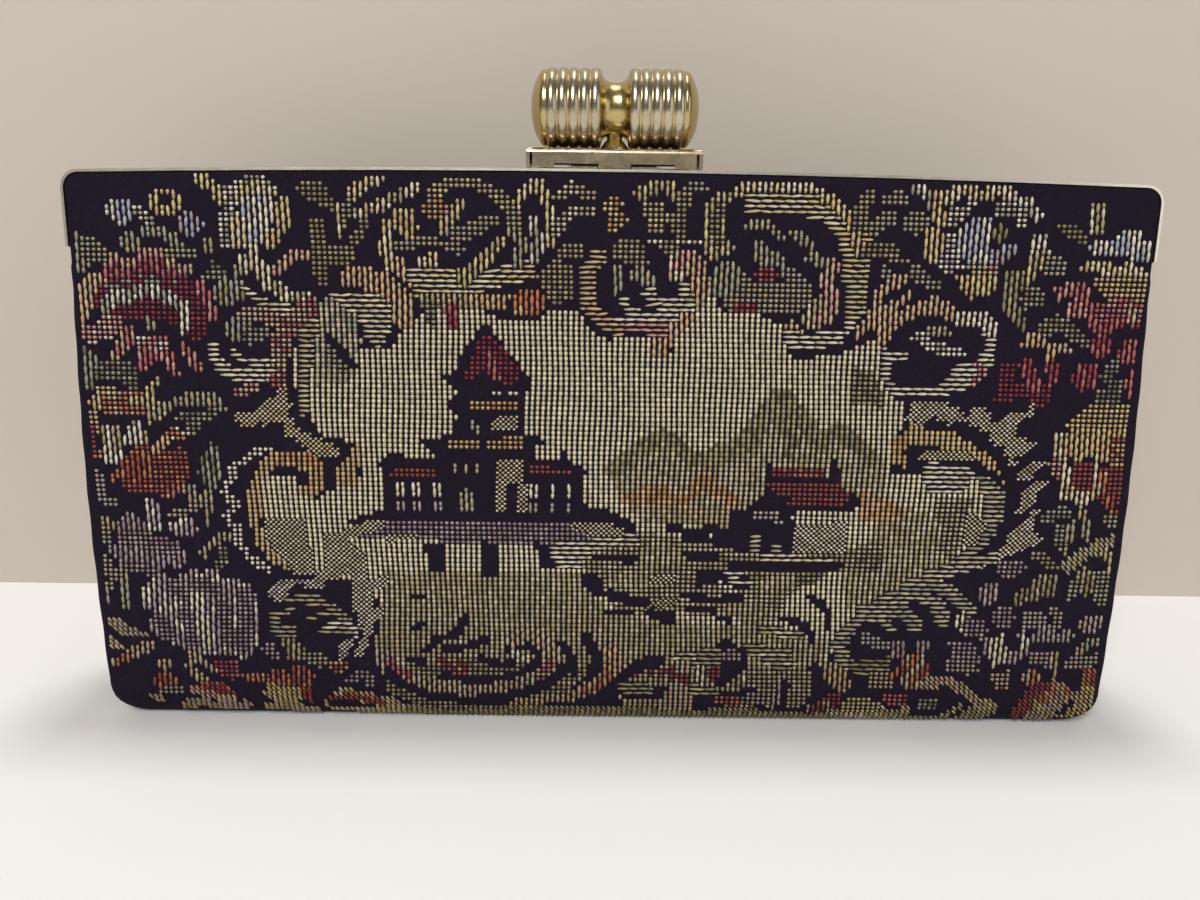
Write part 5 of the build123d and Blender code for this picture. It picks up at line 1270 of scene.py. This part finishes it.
def buildWeft(name):
    settings = {"longTaper": 0.12, "shortTaper": 0.5, "longPaintedShare": 0.6, "longFrom": 1.3, "slim": 1.6,
                "head": 0.8, "leanSpread": 0.05, "lengthRange": (0.92, 1.06), "widthRange": (0.9, 1.1),
                "heightRange": (0.85, 1.15), "shadeRange": (0.82, 1.14)}
    points, faces, paintedLightTone = modelStitch()
    laid = layStitches()
    s, t, turn, length, width, lean, tint = laid.T
    count = len(laid)
    lean = lean + rng.normal(0, settings["leanSpread"], count)
    length = length * rng.uniform(*settings["lengthRange"], count)
    width = width * rng.uniform(*settings["widthRange"], count)
    height = weave["height"] * rng.uniform(*settings["heightRange"], count)
    a = points[None, :, 1] * length[:, None]
    long = (length > settings["slim"] * width) & (length > settings["longFrom"])
    taper = np.where(long, settings["longTaper"], settings["shortTaper"])  # drawn in at the tail
    b = points[None, :, 0] * (settings["head"] + taper[:, None] * points[None, :, 1]) * width[:, None]
    c = points[None, :, 2] * height[:, None]
    right = b * np.cos(lean)[:, None] + a * np.sin(lean)[:, None]
    upward = a * np.cos(lean)[:, None] - b * np.sin(lean)[:, None]
    base = np.where(turn > 0, -panel["baseRoll"] * (1 - np.cos(turn)), relief(s, t))
    cosT, sinT = np.cos(turn)[:, None], np.sin(turn)[:, None]
    slow, quick = (ripple(s, t, *weave[k]) for k in ("slowSway", "quickSway"))
    sway = weave["wander"] * (slow + weave["quickShare"] * quick)
    atS = s[:, None] + sway[:, None] + right
    atT = t[:, None] + upward * cosT - c * sinT
    atN = base[:, None] + c * cosT + upward * sinT
    step = len(points)
    allFaces = [tuple(v + i * step for v in face) for i in range(count) for face in faces]
    piece = newPiece(name, onPanel(atS, atT, atN).reshape(-1, 3), allFaces)
    palette = np.array([linear(rgb) for rgb in threads.values()])
    shade = palette[tint.astype(int)]
    shade[:, :3] *= rng.uniform(*settings["shadeRange"], count)[:, None]
    paintedFootShade = weave["paintedFootShade"] * np.clip(1 - t / weave["paintedFootShadeHigh"], 0, 1)  # painted shade: stitch colours darker towards the foot
    shade[:, :3] *= (1 - paintedFootShade)[:, None]
    shade = np.repeat(shade, step, axis=0)
    # painted highlight and shade at each stitch's points, weaker on long stitches
    ends = 1 - (1 - paintedLightTone[None, :]) * np.where(long, settings["longPaintedShare"], 1.0)[:, None]
    shade[:, :3] *= ends.reshape(-1, 1)
    layer = piece.data.attributes.new("threadColor", "FLOAT_COLOR", "POINT")
    layer.data.foreach_set("color", np.clip(shade, 0, 1).ravel().astype(np.float32))
    dress(piece, weftYarn)
    return piece


frontWeft = buildWeft("frontWeft")
rearWeft = turnedCopy(frontWeft, "rearWeft")
print("weft:", len(frontWeft.data.polygons), "faces")


# gusset and linings

def halfDepth(z, inset):
    return panel["baseDepth"] / 2 - z * math.tan(tilt) - inset / math.cos(tilt)


boxing = {"endPoints": 34, "cornerPoints": 9, "runPoints": 60, "dipFade": 20.0, "dipRipple": 0.25,
          "dipWave": 0.3, "tuckHigh": 6.0, "tuckFrom": 3.0, "tuckRun": 1.5}


def buildBoxing(name, settings, material):  # strip round the ends and the base, between the two walls
    floor, radius, top, across = (settings[k] for k in ("floor", "corner", "top", "across"))
    w = half - settings["side"]
    end = [(-w, z) for z in np.linspace(top, floor + radius, boxing["endPoints"])]
    end += [(-w + radius - radius * math.cos(a), floor + radius - radius * math.sin(a))
            for a in np.linspace(0, math.pi / 2, boxing["cornerPoints"])[1:]]
    run = [(x, floor) for x in np.linspace(-w + radius, w - radius, boxing["runPoints"])[1:]]
    path = np.array(end + run + [(-x, z) for x, z in end[::-1]][1:])
    points = []
    for x, z in path:
        reach = halfDepth(z, settings["near"])
        upright = min(1.0, max(0.0, (z - floor - radius) / boxing["dipFade"]))
        fullness = 1 + boxing["dipRipple"] * math.sin(boxing["dipWave"] * z)
        nearTop = max(0.0, (z - top) / boxing["tuckHigh"] + 1)
        for k in range(across + 1):
            share = 2 * k / across - 1
            y = share * reach
            dip = settings["dip"] * upright * (1 - share ** 2) * fullness
            tuck = nearTop * min(1.0, max(0.0, (y - boxing["tuckFrom"]) / boxing["tuckRun"]))
            points.append((x - math.copysign(dip, x), y + settings["widen"] * tuck,
                           z + settings["rise"] * tuck))
    piece = newPiece(name, np.array(points) * mm, gridFaces(len(path), across + 1))
    mergeAndOrient(piece, distance=0.00001)
    faceTowards(piece, Vector((0, 0, -1)))
    applyModifier(piece, "SOLIDIFY", thickness=settings["thickness"] * mm, offset=-1.0)
    dress(piece, material)
    return piece


gussetSettings = {"side": 0.8, "floor": 0.05, "corner": 6.2, "top": 91.2, "near": 4.55, "across": 12,
                  "dip": 0.35, "thickness": 0.8,
                  "rise": 5.0, "widen": 2.2}  # the rear corners are tucked up behind the rear arms
gussetLiningSettings = {"side": 2.1, "floor": 2.95, "corner": 4.6, "top": 91.0, "near": 3.6, "across": 10,
                        "dip": 0.25, "thickness": 0.4, "rise": 0.0, "widen": 0.0}
gusset = buildBoxing("gussetStrip", gussetSettings, gussetCloth)
gussetLining = buildBoxing("gussetSatin", gussetLiningSettings, liningSatin)


def buildLining(name):
    settings = {"side": 4.15, "low": 5.2, "high": 110.2, "depth": 3.15, "thickness": 0.4, "columns": 70,
                "rows": 60, "broadPucker": 0.08, "finePucker": 0.05, "edgeFade": 6.0,
                "acrossWave": (0.31, 0.0, 0.6), "upWave": (0.0, 0.12), "fineWave": (0.9, 0.2)}
    clearSelection()
    bpy.ops.mesh.primitive_grid_add(x_subdivisions=settings["columns"],
                                    y_subdivisions=settings["rows"], size=2)
    piece = bpy.context.object
    piece.name = piece.data.name = name
    flat = np.array([v.co[:] for v in piece.data.vertices])
    reach = half - settings["side"]
    s = flat[:, 0] * reach
    high = settings["high"] - panel["arch"] * (s / half) ** 2
    t = settings["low"] + (flat[:, 1] + 1) / 2 * (high - settings["low"])
    wide, tall, fine = (ripple(s, t, *settings[k]) for k in ("acrossWave", "upWave", "fineWave"))
    pucker = settings["broadPucker"] * wide * tall + settings["finePucker"] * fine
    edge = np.minimum(reach - np.abs(s), np.minimum(t - settings["low"], high - t))
    places = onPanel(s, t, pucker * np.clip(edge / settings["edgeFade"], 0, 1) - settings["depth"])
    piece.data.vertices.foreach_set("co", places.ravel())
    piece.data.update()
    shadeSmooth(piece)
    faceTowards(piece, Vector((0, 1, 0)))  # the satin faces the inside of the bag
    applyModifier(piece, "SOLIDIFY", thickness=settings["thickness"] * mm, offset=1.0)
    dress(piece, liningSatin)
    return piece


frontLining = buildLining("frontSatin")
rearLining = turnedCopy(frontLining, "rearSatin")
print("gusset and linings made")


# barrel of the clasp, turned on its axis

barrel = {
    "length": 32.2, "radius": 7.4, "ribs": 5, "ribDepth": 0.5, "waist": 4.8, "waistLength": 5.4, "dome": 3.1,
    "endLip": 0.2, "height": 122.42, "goldBelow": 0.5, "wornAndHighlightAbove": 0.1,  # under the crests of the ribs
    "waistCurve": 2.6, "turns": 72, "waistSteps": 12, "ribSteps": 10, "domeSteps": 20, "lipSteps": 8,
}


def barrelProfile():
    halfLength, waistHalf = barrel["length"] / 2, barrel["waistLength"] / 2
    waist, groove = barrel["waist"], barrel["radius"] - barrel["ribDepth"]
    pitch = (halfLength - barrel["dome"] - waistHalf) / barrel["ribs"]
    bead = (pitch ** 2 / 4 + barrel["ribDepth"] ** 2) / 2 / barrel["ribDepth"]  # radius of a rib's back
    points = []
    for k in range(barrel["waistSteps"]):
        share = k / barrel["waistSteps"]
        flare = 1 - math.sqrt(1 - share ** barrel["waistCurve"])
        points.append((waistHalf * share, waist + (groove - waist) * flare))
    for rib in range(barrel["ribs"]):
        for k in range(barrel["ribSteps"]):
            share = k / barrel["ribSteps"]
            rise = math.sqrt(bead ** 2 - ((share - 0.5) * pitch) ** 2) - bead
            points.append((waistHalf + (rib + share) * pitch, barrel["radius"] + rise))
    for k in range(barrel["domeSteps"]):
        turn = math.pi / 2 * k / barrel["domeSteps"]
        lip = barrel["endLip"] * math.sin(math.pi * min(1.0, k / barrel["lipSteps"]))
        points.append((halfLength - barrel["dome"] * (1 - math.sin(turn)), groove * math.cos(turn) + lip))
    return points + [(halfLength, 0.0)]


def buildBarrel(name):
    right = barrelProfile()
    profile = [(-x, r) for x, r in right[:0:-1]] + right
    mesh = bpy.data.meshes.new(name)
    axisZ = barrel["height"]
    mesh.from_pydata([(x * mm, 0, (axisZ + r) * mm) for x, r in profile],
                     [(i, i + 1) for i in range(len(profile) - 1)], [])
    piece = linkNew(name, mesh)
    makeActive(piece)
    bpy.ops.object.mode_set(mode="EDIT")
    bpy.ops.mesh.select_all(action="SELECT")
    bpy.ops.mesh.spin(steps=barrel["turns"], angle=2 * math.pi, center=(0, 0, axisZ * mm), axis=(1, 0, 0))
    mergeAndOrient(piece, distance=0.00001)
    shadeSmooth(piece)
    return piece


def barrelMaterial():  # silvery on the crests, partly worn plate and partly a painted highlight; gold in the grooves, the waist and the domes
    material, tree, shader = newMaterial("barrelPlate")
    plate = plated(tree, shader, plate=(196, 186, 164), brass=(172, 154, 110), tarnish=(112, 92, 62),
                   wear=0.35, clouds=0.25, polish=0.16, scratches=0.2)
    split = tree.nodes.new("ShaderNodeSeparateXYZ")
    tree.links.new(objectCoords(tree), split.inputs[0])
    lift = mathNode(tree, "SUBTRACT", split.outputs["Z"], barrel["height"] * mm)
    squares = [mathNode(tree, "MULTIPLY", value, value) for value in (lift, split.outputs["Y"])]
    reach = mathNode(tree, "SQRT", mathNode(tree, "ADD", *squares))
    gold, wornAndHighlight = ((barrel["radius"] - barrel[k]) * mm for k in ("goldBelow", "wornAndHighlightAbove"))
    # the crests take the plate colour, worn plate with a painted highlight; lower down the barrel keeps its
    # gold
    crest = ramp(tree, reach, gold, wornAndHighlight)
    tree.links.new(mixColour(tree, crest, linear((188, 170, 118)), plate), shader.inputs["Base Color"])
    return material


barrelPiece = buildBarrel("claspBarrel")
barrelPlate = barrelMaterial()
dress(barrelPiece, barrelPlate)
print("barrel:", len(barrelPiece.data.polygons), "faces")


# finishes of the solids that stay as they are

finishes = {
    "rear_frame": frameMetal, "front_frame": frameMetal, "hinge_rivets": rivetMetal, "clasp_pin": rivetMetal,
    "front_board": greyBoard, "rear_board": greyBoard, "front_top_card": greyBoard,
    "rear_top_card": greyBoard, "base_board": greyBoard, "clasp_cap": capMetal, "clasp_bracket": capMetal,
    "strike_lugs": capMetal, "catch_spring": springSteel, "barrel_stud": barrelPlate,
}
for nodeName, finish in finishes.items():
    dress(nodes[nodeName], finish)


# what each piece stands for and moves with

fieldNames = [n for n in nodes if n.endswith("_field")]
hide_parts("front_tapestry")
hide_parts(*[n for n in fieldNames if n.startswith("front_")])
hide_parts("rear_tapestry")
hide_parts(*[n for n in fieldNames if n.startswith("rear_")])
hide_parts("gusset")
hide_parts("gusset_lining")
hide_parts("front_lining")
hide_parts("rear_lining")
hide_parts("clasp_barrel")
for piece in (frontCloth, frontWeft, frontLining):
    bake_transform(piece)
for piece in (rearCloth, rearWeft, rearLining, gusset, gussetLining):
    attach(piece, "bag")
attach(barrelPiece, "clasp")


# floor, wall, light and camera

studio = {"wallBack": 0.052, "reach": 3, "floor": (240, 238, 236), "wall": (206, 196, 183)}


def buildStage(name, corners, colour):
    clearSelection()
    bpy.ops.mesh.primitive_plane_add(size=1)
    piece = bpy.context.object
    piece.name = name
    for vertex, corner in zip(piece.data.vertices, corners):
        vertex.co = corner
    piece.data.update()
    dress(piece, stageMaterial(name, colour))
    return piece


back, far = studio["wallBack"], studio["reach"]
buildStage("floorSheet", [(-far, -far, 0), (far, -far, 0), (-far, far, 0), (far, far, 0)], studio["floor"])
wall = buildStage("wallSheet", [(-far, back, 0), (far, back, 0), (-far, back, far), (far, back, far)],
                  studio["wall"])
wall.visible_shadow = False  # the overhead lamp stands behind it

lamps = [  # name, place, target, size, power
    ("overhead", (0.02, 0.13, 0.9), (0, 0, 0.03), 0.14, 3.0),
    ("frontKey", (-0.2, -0.75, 0.72), (0, 0, 0.06), 0.4, 6.4),
    ("sideFill", (0.7, -0.6, 0.3), (0, 0, 0.06), 0.6, 1.0),
]
for name, place, target, size, power in lamps:
    data = bpy.data.lights.new(name, "AREA")
    data.size = size
    data.energy = power
    lamp = linkNew(name, data)
    lamp.location = place
    lamp.rotation_euler = (Vector(target) - Vector(place)).to_track_quat("-Z", "Y").to_euler()

world = bpy.data.worlds.new("softRoom")
bpy.context.scene.world = world
world.use_nodes = True
setInputs(world.node_tree.nodes["Background"], Color=linear((236, 232, 226)), Strength=0.2)

lens = {"place": (-3.2, -184.5, 103.0), "down": 14.73, "aside": 0.40, "roll": 0.85,
        "focal": 27.0, "sensor": 36.0, "nearest": 10.0}
cameraData = bpy.data.cameras.new("photoCamera")
cameraData.lens = lens["focal"]
cameraData.sensor_width = lens["sensor"]
cameraData.clip_start = lens["nearest"] * mm
camera = linkNew("photoCamera", cameraData)
down, aside, roll = (math.radians(lens[k]) for k in ("down", "aside", "roll"))
ahead = Vector((math.sin(aside) * math.cos(down), math.cos(aside) * math.cos(down), -math.sin(down)))
right = ahead.cross(Vector((0, 0, 1))).normalized()
over = right.cross(ahead)
rolledRight = right * math.cos(roll) + over * math.sin(roll)
rolledOver = over * math.cos(roll) - right * math.sin(roll)
turnTo = Matrix((rolledRight, rolledOver, -ahead)).transposed().to_4x4()
camera.matrix_world = Matrix.Translation(Vector(lens["place"]) * mm) @ turnTo
bpy.context.scene.camera = camera
bpy.context.scene.view_settings.view_transform = "Standard"

print("scene ready")
